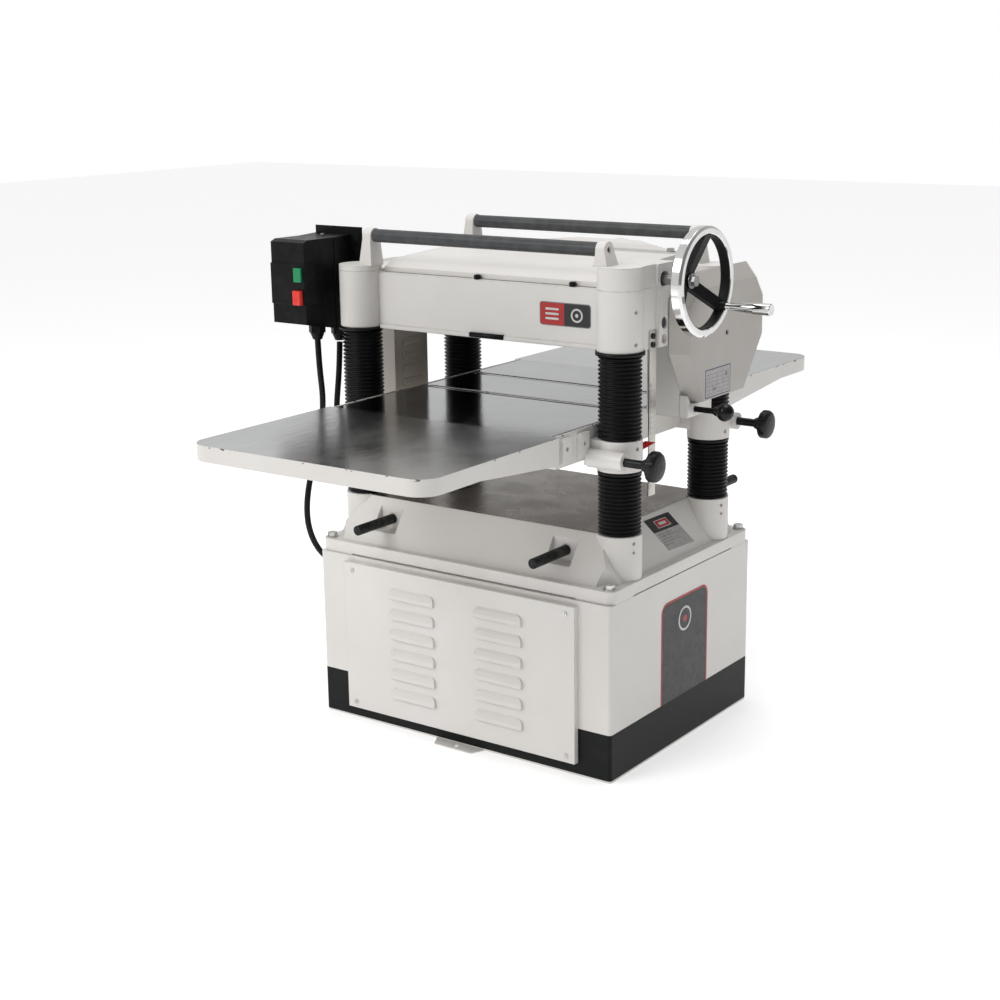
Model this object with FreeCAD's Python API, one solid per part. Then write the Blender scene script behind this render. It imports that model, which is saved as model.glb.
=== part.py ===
import FreeCAD, Part
import math
import os

# Four-post thickness planer, millimetres, +Z up.
# X runs along the cutterhead, +X towards the handwheel side; +Y is the outfeed side.
# The origin is on the floor, under the middle of the cabinet.

# ---------------------------------------------------------------- driving dimensions
CABINET_X = 350.0          # half width of the cabinet
CABINET_Y = 270.0          # half depth of the cabinet
CABINET_TOP = 348.0
SHEET = 3.0                # cabinet sheet thickness
BASE_Y = 265.0             # half depth of the base flange
FLANGE_THICK = 26.0
BASE_TOP = 459.0           # flat top of the base casting
DECK_X = 281.0             # half size of that flat top
DECK_Y = 195.0
COLUMN_X = 305.0           # half spacing of the columns
COLUMN_Y = 168.0
COLUMN_R = 30.0
COLUMN_BORE = 18.5
BOSS_R = 43.0              # cast bosses on the base and on the head
SLEEVE_R = 42.5            # table sleeves that run on the columns
SLEEVE_LOW = 582.0
SLEEVE_HIGH = 640.0
TABLE_TOP = 664.0
TABLE_X = 262.0            # half width of the main table
TABLE_Y = 316.0            # half length of the main table
PLATE = 20.0               # thickness of the planed table plate
WING_X = 270.0             # half width of the extension tables
WING_END = 704.0           # far end of the extension tables
WING_THICK = 30.0
WING_ROOT = 52.0           # depth of an extension where it joins the table
HEAD_LOW = 803.0
HEAD_SPLIT = 915.0         # joint between the head casting and its caps
HEAD_X = 350.0             # half width of the head over its side walls
SIDE_WALL = 88.0           # from the outer face to the wall beside the cutterhead
BEAM_Y = 165.0             # outer face of the front and rear beams
BEAM_THICK = 14.0
CUTTER_Y = 44.0
CUTTER_R = 48.0
CUT_LINE = 790.0           # lowest point of the cutting circle
FEED_R = 28.0
FEED_DROP = 1.0            # feed rollers hang this far below the cutting circle
FEED_IN_Y = -41.0
FEED_OUT_Y = 122.0
BED_IN_Y = -41.0           # bed rollers in the table
BED_OUT_Y = 130.0
ROLLER_HALF = 238.0        # half length of the bed rollers
BED_R = 19.0
WORK_HALF = 254.0          # half of the 508 mm planing width
RUN_FIT = 0.05             # radial clearance of a running fit
FIT = 0.3                  # gap between pieces that pass by each other
LEAD_R = 9.0               # lead screw radius
BAR_R = 10.0               # lifting bars
BAR_LENGTH = 300.0
BAR_X = 210.0
BAR_Z = 420.0
BAR_OUT = 318.0            # how far three of the bars stand out, measured from the middle
BOLT_X = 336.0             # bolts that hold the base on the cabinet
BOLT_Y = 251.0
COLUMN_FOOT = 400.0        # lower end of the column tubes
BELLOWS_GAP = 0.4
SPROCKET_X0 = 354.0        # chain wheels of the feed drive
SPROCKET_X1 = 360.0
FEED_SPROCKET_R = 14.0
DRIVE_SPROCKET_R = 14.0
ENTRY_X = -400.0           # elbow where the mains lead enters the switch box
ENTRY_MOUTH = -150.0
BAR_OUT_FAR = 462.0        # the bar at the rear right is drawn out further
WHEEL_Y = -88.0            # handwheel axis
WHEEL_Z = 927.0
WHEEL_R = 100.0
WHEEL_FACE = 440.0         # outer face of the handwheel rim
RIM = 16.0                 # radial width of the rim
RIM_WIDTH = 22.0
HANDLE_AT = 84.0           # handle distance from the wheel axis
HANDLE_ANGLE = -38.0       # handle direction, from +Y towards +Z
HANDLE_LENGTH = 94.0
RETURN_R = 13.0            # return rollers on top
RETURN_HALF = 262.0
RETURN_Z = 984.0
RETURN_Y = 170.0
LOCK_Y = 216.0             # table lock axis
LOCK_Z = 608.0
LOCK_R = 8.0
SWITCH_X = -468.0          # left side of the switch box
SWITCH_W = 91.0
SWITCH_FRONT = -253.0
SWITCH_SEAM = -162.0
SWITCH_BACK = -112.0
SWITCH_TOP = 974.0
CABLE_R = 6.25

CORNERS = [("fl", -1, -1), ("fr", 1, -1), ("rl", -1, 1), ("rr", 1, 1)]

os.makedirs("parts", exist_ok=True)


# ---------------------------------------------------------------- shape helpers
def vec(x, y, z):
    return FreeCAD.Vector(x, y, z)


def block(x0, x1, y0, y1, z0, z1):
    return Part.makeBox(x1 - x0, y1 - y0, z1 - z0, vec(x0, y0, z0))


def rod_x(x0, x1, y, z, r):
    return Part.makeCylinder(r, x1 - x0, vec(x0, y, z), vec(1, 0, 0))


def rod_y(y0, y1, x, z, r):
    return Part.makeCylinder(r, y1 - y0, vec(x, y0, z), vec(0, 1, 0))


def rod_z(z0, z1, x, y, r):
    return Part.makeCylinder(r, z1 - z0, vec(x, y, z0), vec(0, 0, 1))


def cone_x(x0, x1, y, z, r0, r1):
    return Part.makeCone(r0, r1, x1 - x0, vec(x0, y, z), vec(1, 0, 0))


def prism_x(points, x0, x1):
    """A solid of constant YZ outline."""
    loop = [vec(x0, y, z) for y, z in points]
    return Part.Face(Part.makePolygon(loop + loop[:1])).extrude(vec(x1 - x0, 0, 0))


def prism_y(points, y0, y1):
    """A solid of constant XZ outline."""
    loop = [vec(x, y0, z) for x, z in points]
    return Part.Face(Part.makePolygon(loop + loop[:1])).extrude(vec(0, y1 - y0, 0))


def prism_z(points, z0, z1):
    """A solid of constant XY outline."""
    loop = [vec(x, y, z0) for x, y in points]
    return Part.Face(Part.makePolygon(loop + loop[:1])).extrude(vec(0, 0, z1 - z0))


def frustum(x0, y0, z0, x1, y1, z1):
    """A four-sided block that tapers from half size x0, y0 to half size x1, y1."""
    def ring(x, y, z):
        loop = [vec(-x, -y, z), vec(x, -y, z), vec(x, y, z), vec(-x, y, z)]
        return Part.makePolygon(loop + loop[:1])
    return Part.makeLoft([ring(x0, y0, z0), ring(x1, y1, z1)], True, True)


def turned_x(profile, y, z):
    """A turned piece about an axis along X; the profile is a list of (x, radius)."""
    loop = [vec(px, y + pr, z) for px, pr in profile]
    face = Part.Face(Part.makePolygon(loop + loop[:1]))
    return face.revolve(vec(0, y, z), vec(1, 0, 0), 360)


def turned_z(profile, x, y):
    """A turned piece about a vertical axis; the profile is a list of (radius, z)."""
    loop = [vec(x + pr, y, pz) for pr, pz in profile]
    face = Part.Face(Part.makePolygon(loop + loop[:1]))
    return face.revolve(vec(x, y, 0), vec(0, 0, 1), 360)


def hexagon_z(x, y, z0, z1, across):
    r = across / math.sqrt(3)
    points = []
    for i in range(6):
        a = math.radians(60 * i + 30)
        points.append((x + r * math.cos(a), y + r * math.sin(a)))
    return prism_z(points, z0, z1)


def join(shapes):
    first = shapes[0]
    if len(shapes) == 1:
        return first
    return first.multiFuse(shapes[1:]).removeSplitter()


def upright_edges(shape, x, y, tol=0.5):
    """The vertical edges that stand at |x|, |y|."""
    found = []
    for edge in shape.Edges:
        a = edge.Vertexes[0].Point
        b = edge.Vertexes[-1].Point
        straight = abs(a.x - b.x) < tol and abs(a.y - b.y) < tol and abs(a.z - b.z) > 1
        if straight and abs(abs(a.x) - x) < tol and abs(abs(a.y) - y) < tol:
            found.append(edge)
    return found


def save(name, shapes):
    """One node: a single solid, or a group of separate solids."""
    if not isinstance(shapes, list):
        shapes = [shapes]
    solids = []
    for shape in shapes:
        solids += shape.Solids
    for solid in solids:
        if not solid.isValid():
            print("not valid:", name)
    out = solids[0] if len(solids) == 1 else Part.makeCompound(solids)
    out.exportStep("parts/%s.step" % name)
    print("%-20s %2d solid(s) %10.0f mm3" % (name, len(solids), sum(s.Volume for s in solids)))


# ---------------------------------------------------------------- cabinet and base casting
FLANGE_TOP = CABINET_TOP + FLANGE_THICK
MOTOR_Y = CUTTER_Y
MOTOR_Z = 190.0
SHAFT_HOLE_R = 34.0
PANEL_X = 278.0
PANEL_LOW = 27.0
PANEL_HIGH = 338.0
PANEL_DEEP = 12.0
PANEL_SHEET = 2.0
LOUVER_LENGTH = 110.0
LOUVER_HIGH = 22.0
LOUVER_DEEP = 6.0
LOUVER_PITCH = 42.0
LOUVER_ROWS = 6
CABLE_ENTRY_Y = -120.0
CABLE_ENTRY_Z = 285.0


def cabinet():
    outer = block(-CABINET_X, CABINET_X, -CABINET_Y, CABINET_Y, 0, CABINET_TOP)
    outer = outer.makeFillet(7, upright_edges(outer, CABINET_X, CABINET_Y))
    inner = block(SHEET - CABINET_X, CABINET_X - SHEET, SHEET - CABINET_Y, CABINET_Y - SHEET,
                  -1, CABINET_TOP - SHEET)
    hatch = block(30 - PANEL_X, PANEL_X - 30, -CABINET_Y - 1, SHEET - CABINET_Y + 1,
                  PANEL_LOW + 30, PANEL_HIGH - 30)
    top_hole = block(-230, 230, -150, 150, CABINET_TOP - SHEET - 1, CABINET_TOP + 1)
    shaft_hole = rod_x(-CABINET_X - 1, SHEET - CABINET_X + 1, MOTOR_Y, MOTOR_Z, SHAFT_HOLE_R)
    cable_hole = rod_x(-CABINET_X - 1, SHEET - CABINET_X + 1, CABLE_ENTRY_Y, CABLE_ENTRY_Z, 9.2)
    shell = outer.cut(inner).cut(hatch).cut(top_hole).cut(shaft_hole).cut(cable_hole)
    tabs = []
    for side in (-1, 1):
        root = side * (CABINET_Y - SHEET)
        tip = side * (CABINET_Y + 29)
        tab = prism_z([(-60, root), (60, root), (44, tip), (-44, tip)], 0, SHEET)
        tabs.append(tab.cut(rod_z(-1, SHEET + 1, 0, side * (CABINET_Y + 16), 5.5)))
    return join([shell] + tabs)


def louver(x0, z_top, length, front, deep, high):
    """A pressed louver that opens downwards; front is the sheet's outer face."""
    profile = [(front, z_top), (front - 0.5 * deep, z_top - 0.22 * high),
               (front - 0.9 * deep, z_top - 0.6 * high), (front - deep, z_top - high), (front, z_top - high)]
    r = 0.6 * high
    arc = [(r - r * math.cos(math.radians(15 * k)), r * math.sin(math.radians(15 * k)) - r) for k in range(7)]
    outline = [(x0, z_top - high)] + [(x0 + u, z_top + v) for u, v in arc]
    outline += [(x0 + length - u, z_top + v) for u, v in reversed(arc)] + [(x0 + length, z_top - high)]
    return prism_x(profile, x0, x0 + length).common(prism_y(outline, front - deep - 1, front + 1))


def front_panel():
    face_y = -CABINET_Y - PANEL_DEEP
    tray = block(-PANEL_X, PANEL_X, face_y, -CABINET_Y, PANEL_LOW, PANEL_HIGH)
    hollow = block(PANEL_SHEET - PANEL_X, PANEL_X - PANEL_SHEET, face_y + PANEL_SHEET, -CABINET_Y + 1,
                   PANEL_LOW + PANEL_SHEET, PANEL_HIGH - PANEL_SHEET)
    tray = tray.cut(hollow)
    hoods = []
    slots = []
    for start in (-160, 50):
        for row in range(LOUVER_ROWS):
            top = 302 - LOUVER_PITCH * row
            hoods.append(louver(start, top, LOUVER_LENGTH, face_y, LOUVER_DEEP, LOUVER_HIGH))
            slots.append(block(start + 3, start + LOUVER_LENGTH - 3, face_y - LOUVER_DEEP + 1.5,
                               face_y + PANEL_SHEET + 1, top - LOUVER_HIGH - 1, top - LOUVER_HIGH + 7))
    panel = join([tray] + hoods)
    for slot in slots:
        panel = panel.cut(slot)
    spacers = []
    for sx in (-1, 1):
        for z in (PANEL_LOW + 13, PANEL_HIGH - 16):
            spacers.append(rod_y(face_y + PANEL_SHEET, -CABINET_Y, sx * (PANEL_X - 20), z, 6))
    return join([panel] + spacers)


def small_screw_y(x, z, y, r=4.5, deep=2.2):
    """A low screw head against a face that looks along -Y."""
    head = rod_y(y - deep, y, x, z, r)
    slot = block(x - 0.6, x + 0.6, y - deep - 1, y - deep + 1, z - 3, z + 3)
    return head.cut(slot)


def base_casting():
    flange = block(-CABINET_X, CABINET_X, -BASE_Y, BASE_Y, CABINET_TOP, FLANGE_TOP)
    flange = flange.makeFillet(16, upright_edges(flange, CABINET_X, BASE_Y))
    slope = frustum(CABINET_X - 14, BASE_Y - 14, FLANGE_TOP, DECK_X, DECK_Y, BASE_TOP)
    bolt_seats = []
    for name, sx, sy in CORNERS:
        bolt_seats.append(rod_z(FLANGE_TOP, BASE_TOP + 5, sx * BOLT_X, sy * BOLT_Y, 30))
    for seat in bolt_seats:
        slope = slope.cut(seat)
    bosses = [rod_z(FLANGE_TOP - 5, BASE_TOP + 1, sx * COLUMN_X, sy * COLUMN_Y, BOSS_R)
              for name, sx, sy in CORNERS]
    body = join([flange, slope] + bosses)
    for name, sx, sy in CORNERS:
        face = sy * (BASE_Y + 10)
        inner = sy * 205
        body = body.cut(block(sx * BAR_X - 28, sx * BAR_X + 28, min(face, inner), max(face, inner),
                              BAR_Z - 22, BASE_TOP - 6))
    cavity = block(-240, 240, -150, 150, CABINET_TOP - 1, BASE_TOP - 20)
    tray = block(-341, 341, -206, 206, CABINET_TOP - 1, CABINET_TOP + 20)
    body = body.cut(cavity).cut(tray)
    for name, sx, sy in CORNERS:
        x = sx * COLUMN_X
        y = sy * COLUMN_Y
        body = body.cut(rod_z(COLUMN_FOOT, BASE_TOP + 5, x, y, COLUMN_R))
        body = body.cut(rod_z(CABINET_TOP, BASE_TOP, x, y, LEAD_R + 1))
        body = body.cut(rod_y(min(0, sy * 300), max(0, sy * 300), sx * BAR_X, BAR_Z, BAR_R + RUN_FIT))
        for z in (430, 447):
            hole = rod_x(sx * COLUMN_X, sx * COLUMN_X + BOSS_R + 2, y - 14, z, 3)
            if sx > 0:
                body = body.cut(hole)
    for sy in (-1, 1):
        edge = sy * BASE_Y
        relief = sy * (BASE_Y - 6)
        body = body.cut(block(-270, 270, min(edge, relief) - 0.01, max(edge, relief) + 0.01,
                              CABINET_TOP - 1, CABINET_TOP + 2.5))
    for sx in (-1, 1):
        edge = sx * CABINET_X
        relief = sx * (CABINET_X - 6)
        body = body.cut(block(min(edge, relief), max(edge, relief), -190, 190, CABINET_TOP - 1, CABINET_TOP + 2.5))
    return body


def base_bolts():
    bolts = []
    for name, sx, sy in CORNERS:
        x = sx * (BOLT_X - 2)
        y = sy * (BOLT_Y - 1)
        washer = rod_z(FLANGE_TOP, FLANGE_TOP + 2, x, y, 12)
        bolts.append(join([washer, hexagon_z(x, y, FLANGE_TOP + 2, FLANGE_TOP + 10, 17)]))
    return bolts


def column(sx, sy):
    """A hollow column with a slot for the lead nut's tongue."""
    x = sx * COLUMN_X
    y = sy * COLUMN_Y
    tube = rod_z(COLUMN_FOOT, HEAD_SPLIT - 10, x, y, COLUMN_R)
    tube = tube.cut(rod_z(COLUMN_FOOT + 20, HEAD_SPLIT, x, y, COLUMN_BORE))
    tube = tube.cut(rod_z(COLUMN_FOOT - 1, HEAD_SPLIT, x, y, LEAD_R + 1))
    slot_end = x - sx * (COLUMN_R + 5)
    return tube.cut(block(min(x, slot_end), max(x, slot_end), y - 6.3, y + 6.3, BASE_TOP + 10, HEAD_LOW - 10))


save("cabinet", cabinet())
save("front_panel", front_panel())
save("base_casting", base_casting())
save("columns", [column(sx, sy) for name, sx, sy in CORNERS])


# ---------------------------------------------------------------- table
APRON = 20.0               # side apron thickness
APRON_LOW = 604.0
LOCK_MOUTH = 346.0
LOCK_KNOB_X = 392.0
SET_SCREW_R = 4.0


def table():
    plate = block(-TABLE_X, TABLE_X, -TABLE_Y, TABLE_Y, TABLE_TOP - PLATE, TABLE_TOP)
    parts = [plate]
    for side in (-1, 1):
        edge = side * TABLE_X
        inside = side * (TABLE_X - APRON)
        parts.append(block(min(edge, inside), max(edge, inside), -TABLE_Y, TABLE_Y,
                           APRON_LOW, TABLE_TOP - PLATE + 1))
        end = side * TABLE_Y
        deep = side * (TABLE_Y - 18)
        parts.append(block(-TABLE_X, TABLE_X, min(end, deep), max(end, deep),
                           TABLE_TOP - WING_ROOT, TABLE_TOP - PLATE + 1))
        for y in (-290, -232, 232, 290):
            pad = side * (WING_X)
            parts.append(block(min(edge, pad) - 0.5, max(edge, pad) + 0.5, y - 15, y + 15,
                               TABLE_TOP - WING_ROOT, TABLE_TOP - 6))
    for y in (-90, 90):
        parts.append(block(-TABLE_X + 5, TABLE_X - 5, y - 5, y + 5, APRON_LOW + 8, TABLE_TOP - PLATE + 1))
    for name, sx, sy in CORNERS:
        x = sx * COLUMN_X
        y = sy * COLUMN_Y
        near = sx * (TABLE_X - 10)
        parts.append(block(min(near, x), max(near, x), y - 38, y + 38, SLEEVE_LOW + 18, SLEEVE_HIGH))
        foot = [(TABLE_X - 14, SLEEVE_LOW + 18), (COLUMN_X, SLEEVE_LOW + 4), (COLUMN_X, SLEEVE_LOW + 19),
                (TABLE_X - 14, SLEEVE_LOW + 40)]
        parts.append(prism_y([(sx * px, pz) for px, pz in foot], y - 8, y + 8))
        parts.append(rod_z(SLEEVE_LOW, SLEEVE_HIGH, x, y, SLEEVE_R))
        if sx > 0:
            parts.append(rod_x(TABLE_X + 8, LOCK_MOUTH, sy * LOCK_Y, LOCK_Z, 17))
            parts.append(block(TABLE_X - 5, COLUMN_X + 10, min(y, sy * LOCK_Y), max(y, sy * LOCK_Y),
                               LOCK_Z - 15, LOCK_Z + 15))
    body = join(parts)
    cuts = []
    for name, sx, sy in CORNERS:
        x = sx * COLUMN_X
        y = sy * COLUMN_Y
        cuts.append(rod_z(SLEEVE_LOW - 20, SLEEVE_HIGH + 1, x, y, COLUMN_R + RUN_FIT))
        if sx > 0:
            cuts.append(rod_x(TABLE_X + 20, LOCK_MOUTH + 1, sy * LOCK_Y, LOCK_Z, LOCK_R + RUN_FIT))
            for z in (597, 625):
                cuts.append(rod_x(x, x + SLEEVE_R + 1, y - 6, z, SET_SCREW_R))
    for y in (BED_IN_Y, BED_OUT_Y):
        z = TABLE_TOP + 0.1 - BED_R
        cuts.append(rod_x(-ROLLER_HALF - 2, ROLLER_HALF + 2, y, z, BED_R + 1.5))
        cuts.append(block(-ROLLER_HALF - 2, ROLLER_HALF + 2, y - 11, y + 11, z + 10, TABLE_TOP + 1))
        cuts.append(block(-ROLLER_HALF - 2, ROLLER_HALF + 2, y - BED_R - 1.5, y + BED_R + 1.5,
                          APRON_LOW - 1, z))
        for side in (-1, 1):
            a = side * (ROLLER_HALF - 1)
            b = side * (ROLLER_HALF + 14)
            cuts.append(rod_x(min(a, b), max(a, b), y, z, 8 + RUN_FIT))
    for side in (-1, 1):
        groove = side * WORK_HALF
        cuts.append(block(groove - 1.2, groove + 1.2, -TABLE_Y - 1, TABLE_Y + 1, TABLE_TOP - 2, TABLE_TOP + 1))
        for y in (-290, -232, 232, 290):
            a = side * (TABLE_X - 6)
            b = side * (WING_X + 2)
            cuts.append(rod_x(min(a, b), max(a, b), y, TABLE_TOP - 26, 4))
    for cut in cuts:
        body = body.cut(cut)
    return body


def wing(side):
    """An extension table: a ribbed plate whose outer corners are rounded."""
    root = side * TABLE_Y
    end = side * WING_END
    knee = side * (TABLE_Y + 240)
    outline = [(root, TABLE_TOP), (end, TABLE_TOP), (end, TABLE_TOP - WING_THICK),
               (knee, TABLE_TOP - WING_THICK), (root, TABLE_TOP - WING_ROOT)]
    body = prism_x(outline, -WING_X, WING_X)
    body = body.makeFillet(42, upright_edges(body, WING_X, WING_END))
    wall = 13.0
    rooms = []
    spans = [(-WING_X + wall, -WING_X / 3 - wall / 3), (-WING_X / 3 + wall / 3, WING_X / 3 - wall / 3),
             (WING_X / 3 + wall / 3, WING_X - wall)]
    for a, b in spans:
        for y0, y1 in ((TABLE_Y + 16, TABLE_Y + 190), (TABLE_Y + 200, WING_END - 34)):
            rooms.append(block(a, b, min(side * y0, side * y1), max(side * y0, side * y1),
                               TABLE_TOP - WING_ROOT - 1, TABLE_TOP - 14))
    for room in rooms:
        body = body.cut(room)
    return body


def bellows(x, y, z0, z1, folds, collar):
    """A folded rubber sleeve with a plain collar at its upper end."""
    collar_high = 7.0
    z1_folds = z1 - collar_high
    pitch = (z1_folds - z0) / folds
    outline = [(33.5, z0)]
    for i in range(folds):
        outline.append((37.2, z0 + pitch * i))
        outline.append((41.0, z0 + pitch * (i + 0.5)))
    outline.append((37.2, z1_folds))
    outline.append((collar, z1_folds))
    outline.append((collar, z1))
    outline.append((33.5, z1))
    return turned_z(outline, x, y)


def lead_screw(sx, sy):
    """The screw inside a column, with its sprocket under the base."""
    x = sx * COLUMN_X
    y = sy * COLUMN_Y
    core = rod_z(CABINET_TOP + 4, HEAD_SPLIT + 3, x, y, LEAD_R)
    disc = rod_z(CABINET_TOP + 7, CABINET_TOP + 13, x, y, 27)
    teeth = []
    for i in range(15):
        a = 2 * math.pi * i / 15
        teeth.append(rod_z(CABINET_TOP + 7, CABINET_TOP + 13, x + 27.5 * math.cos(a), y + 27.5 * math.sin(a), 2.0))
    return join([core, disc] + teeth)


def lead_nut(sx, sy):
    """The nut on a lead screw; its tongue passes the column's slot and fixes to the sleeve."""
    x = sx * COLUMN_X
    y = sy * COLUMN_Y
    barrel = rod_z(SLEEVE_LOW + 8, SLEEVE_HIGH - 8, x, y, COLUMN_BORE - 0.5)
    reach = x - sx * (COLUMN_R - 0.8)
    tongue = block(min(x, reach), max(x, reach), y - 5.8, y + 5.8, SLEEVE_LOW + 12, SLEEVE_HIGH - 12)
    nut = join([barrel, tongue])
    return nut.cut(rod_z(SLEEVE_LOW, SLEEVE_HIGH, x, y, LEAD_R + RUN_FIT))


def bed_roller(y):
    z = TABLE_TOP + 0.1 - BED_R
    end = ROLLER_HALF + 12
    profile = [(-end, 0), (-end, 8), (-ROLLER_HALF, 8), (-ROLLER_HALF, BED_R), (ROLLER_HALF, BED_R),
               (ROLLER_HALF, 8), (end, 8), (end, 0)]
    return turned_x(profile, y, z)


def lock_knob(side):
    """A domed knob with shallow finger hollows, on a threaded rod that clamps the table to its column."""
    y = side * LOCK_Y
    x = LOCK_KNOB_X
    rod = rod_x(TABLE_X + 26, x, y, LOCK_Z, LOCK_R)
    knob = turned_x([(x - 6, 0), (x - 6, 11), (x + 5, 14), (x + 8, 24), (x + 10, 28), (x + 12, 28.5),
                     (x + 20, 28.5), (x + 24, 26), (x + 26.5, 20), (x + 28, 10), (x + 28.3, 0)], y, LOCK_Z)
    for i in range(7):
        a = math.radians(360 / 7 * i)
        knob = knob.cut(rod_x(x + 6, x + 30, y + 33.5 * math.cos(a), LOCK_Z + 33.5 * math.sin(a), 7.5))
    return join([rod, knob])


def depth_pointer():
    """A thin pointer on the front right sleeve that reads the scale."""
    points = [(328, 625), (339, 632), (361, 632), (342, 620), (330, 613)]
    plate = prism_y(points, -134.5, -132.5)
    return plate.cut(rod_z(600, 660, COLUMN_X, -COLUMN_Y, SLEEVE_R + 0.01))


save("table", table())
save("table_infeed", wing(-1))
save("table_outfeed", wing(1))
save("lower_bellows", [bellows(sx * COLUMN_X, sy * COLUMN_Y, BASE_TOP + 1 + BELLOWS_GAP,
                               SLEEVE_LOW - BELLOWS_GAP, 14, 41.5) for name, sx, sy in CORNERS])
save("upper_bellows", [bellows(sx * COLUMN_X, sy * COLUMN_Y, SLEEVE_HIGH + BELLOWS_GAP,
                               HEAD_LOW - BELLOWS_GAP, 18, 46.0) for name, sx, sy in CORNERS])
for name, sx, sy in CORNERS:
    save("lead_screw_" + name, lead_screw(sx, sy))
save("lead_nuts", [lead_nut(sx, sy) for name, sx, sy in CORNERS])
save("bed_roller_in", bed_roller(BED_IN_Y))
save("bed_roller_out", bed_roller(BED_OUT_Y))
save("lock_knob_front", lock_knob(-1))
save("lock_knob_rear", lock_knob(1))
save("depth_pointer", depth_pointer())


# ---------------------------------------------------------------- head
CUTTER_Z = CUT_LINE + CUTTER_R
FEED_Z = CUT_LINE - FEED_DROP + FEED_R
REAR_BEAM_Y = 180.0
LIP_X = 257.0               # half length of the ledge under the front beam
WALL_FRONT = -106.0
WALL_REAR = 152.0
LINK_X = 343.0             # recessed face that carries the depth scale
CUTTER_BEARING_R = 31.0
CUTTER_JOURNAL_R = 17.0
FEED_BUSH_R = 13.0
FEED_JOURNAL_R = 10.0
FINGER_Y = -86.0
FINGER_Z = 847.0
FINGER_SHAFT_R = 11.0
SHAFT_R = 9.0


def head_casting():
    parts = []
    for name, sx, sy in CORNERS:
        parts.append(rod_z(HEAD_LOW, HEAD_SPLIT, sx * COLUMN_X, sy * COLUMN_Y, BOSS_R))
        link = sx * LINK_X
        y0, y1 = (-COLUMN_Y, WALL_FRONT + 6) if sy < 0 else (WALL_REAR - 2, COLUMN_Y + 6)
        parts.append(block(min(sx * 275, link), max(sx * 275, link), y0, y1, HEAD_LOW, HEAD_SPLIT))
    for sx in (-1, 1):
        a = sx * HEAD_X
        b = sx * (HEAD_X - SIDE_WALL)
        parts.append(block(min(a, b), max(a, b), WALL_FRONT, WALL_REAR, HEAD_LOW, HEAD_SPLIT))
    parts.append(block(-290, 290, -BEAM_Y, -BEAM_Y + BEAM_THICK, HEAD_LOW, HEAD_SPLIT - 4))
    parts.append(block(-LIP_X, LIP_X, -BEAM_Y - 5, -BEAM_Y + BEAM_THICK, HEAD_LOW - 3, HEAD_LOW + 5))
    parts.append(block(-290, 290, REAR_BEAM_Y - BEAM_THICK, REAR_BEAM_Y, HEAD_LOW, HEAD_SPLIT - 4))
    head = join(parts)
    cuts = []
    for name, sx, sy in CORNERS:
        x = sx * COLUMN_X
        y = sy * COLUMN_Y
        cuts.append(rod_z(HEAD_LOW - 5, HEAD_SPLIT - 10, x, y, COLUMN_R))
        cuts.append(rod_z(HEAD_LOW, HEAD_SPLIT + 1, x, y, LEAD_R + 1))
        for z in (818, 877):
            if sx > 0:
                cuts.append(rod_x(x + 20, x + BOSS_R + 1, y - 12, z, 3.5))
    for sx in (-1, 1):
        a = sx * (HEAD_X + 1)
        b = sx * (HEAD_X - SIDE_WALL - 1)
        x0 = min(a, b)
        x1 = max(a, b)
        cuts.append(rod_x(x0, x1, CUTTER_Y, CUTTER_Z, CUTTER_BEARING_R))
        cuts.append(rod_x(x0, x1, FEED_IN_Y, FEED_Z, FEED_BUSH_R))
        cuts.append(rod_x(x0, x1, FEED_OUT_Y, FEED_Z, FEED_BUSH_R))
        cuts.append(rod_x(x0, x1, FINGER_Y, FINGER_Z, FINGER_SHAFT_R + RUN_FIT))
        cuts.append(rod_x(min(a, sx * 338), max(a, sx * 338), FINGER_Y, 818, 9.5))
    cuts.append(rod_x(287, 302, WHEEL_Y, WHEEL_Z, 18.5))
    for cut in cuts:
        head = head.cut(cut)
    return head


def roller_lug(sx, sy, base_z):
    """The tapered lug on a cap that holds one end of a return roller."""
    y = sy * RETURN_Y
    side = [(sx * (COVER_HALF + 2), base_z), (sx * 291, base_z), (sx * 282, RETURN_Z),
            (sx * 282, RETURN_Z + 15), (sx * RETURN_HALF, RETURN_Z + 15), (sx * RETURN_HALF, RETURN_Z - 17)]
    slab = prism_y(side, y - 22, y + 22)
    front = prism_x([(y - 19, base_z), (y + 19, base_z), (y + 15, RETURN_Z), (y - 15, RETURN_Z)], -300, 300)
    crown = rod_x(-300, 300, y, RETURN_Z, 15)
    lug = slab.common(front.fuse(crown))
    return lug.cut(rod_x(-300, 300, y, RETURN_Z, 6 + RUN_FIT))


def cap(sx, sy):
    """A cast cap on a column boss; the front right one houses the lift drive."""
    x = sx * COLUMN_X
    y = sy * COLUMN_Y
    housing = sx > 0 and sy < 0
    top = HEAD_SPLIT + (41 if housing else 11)
    parts = [rod_z(HEAD_SPLIT, top, x, y, BOSS_R)]
    if housing:
        parts.append(block(270, HEAD_X, WALL_FRONT - 4, WHEEL_Y + 42, HEAD_SPLIT, top))
        parts.append(block(275, LINK_X, y, WALL_FRONT, HEAD_SPLIT, top))
    parts.append(roller_lug(sx, sy, top - 1))
    body = join(parts)
    if housing:
        body = body.cut(rod_z(HEAD_SPLIT - 1, top - 6, x, y, 33))
        body = body.cut(block(278, HEAD_X - 10, y, WHEEL_Y + 34, HEAD_SPLIT - 1, top - 6))
        body = body.cut(rod_x(HEAD_X - 12, HEAD_X + 1, WHEEL_Y, WHEEL_Z, 15))
    else:
        body = body.cut(rod_z(HEAD_SPLIT - 1, HEAD_SPLIT + 5, x, y, LEAD_R + 2))
    return body


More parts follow.
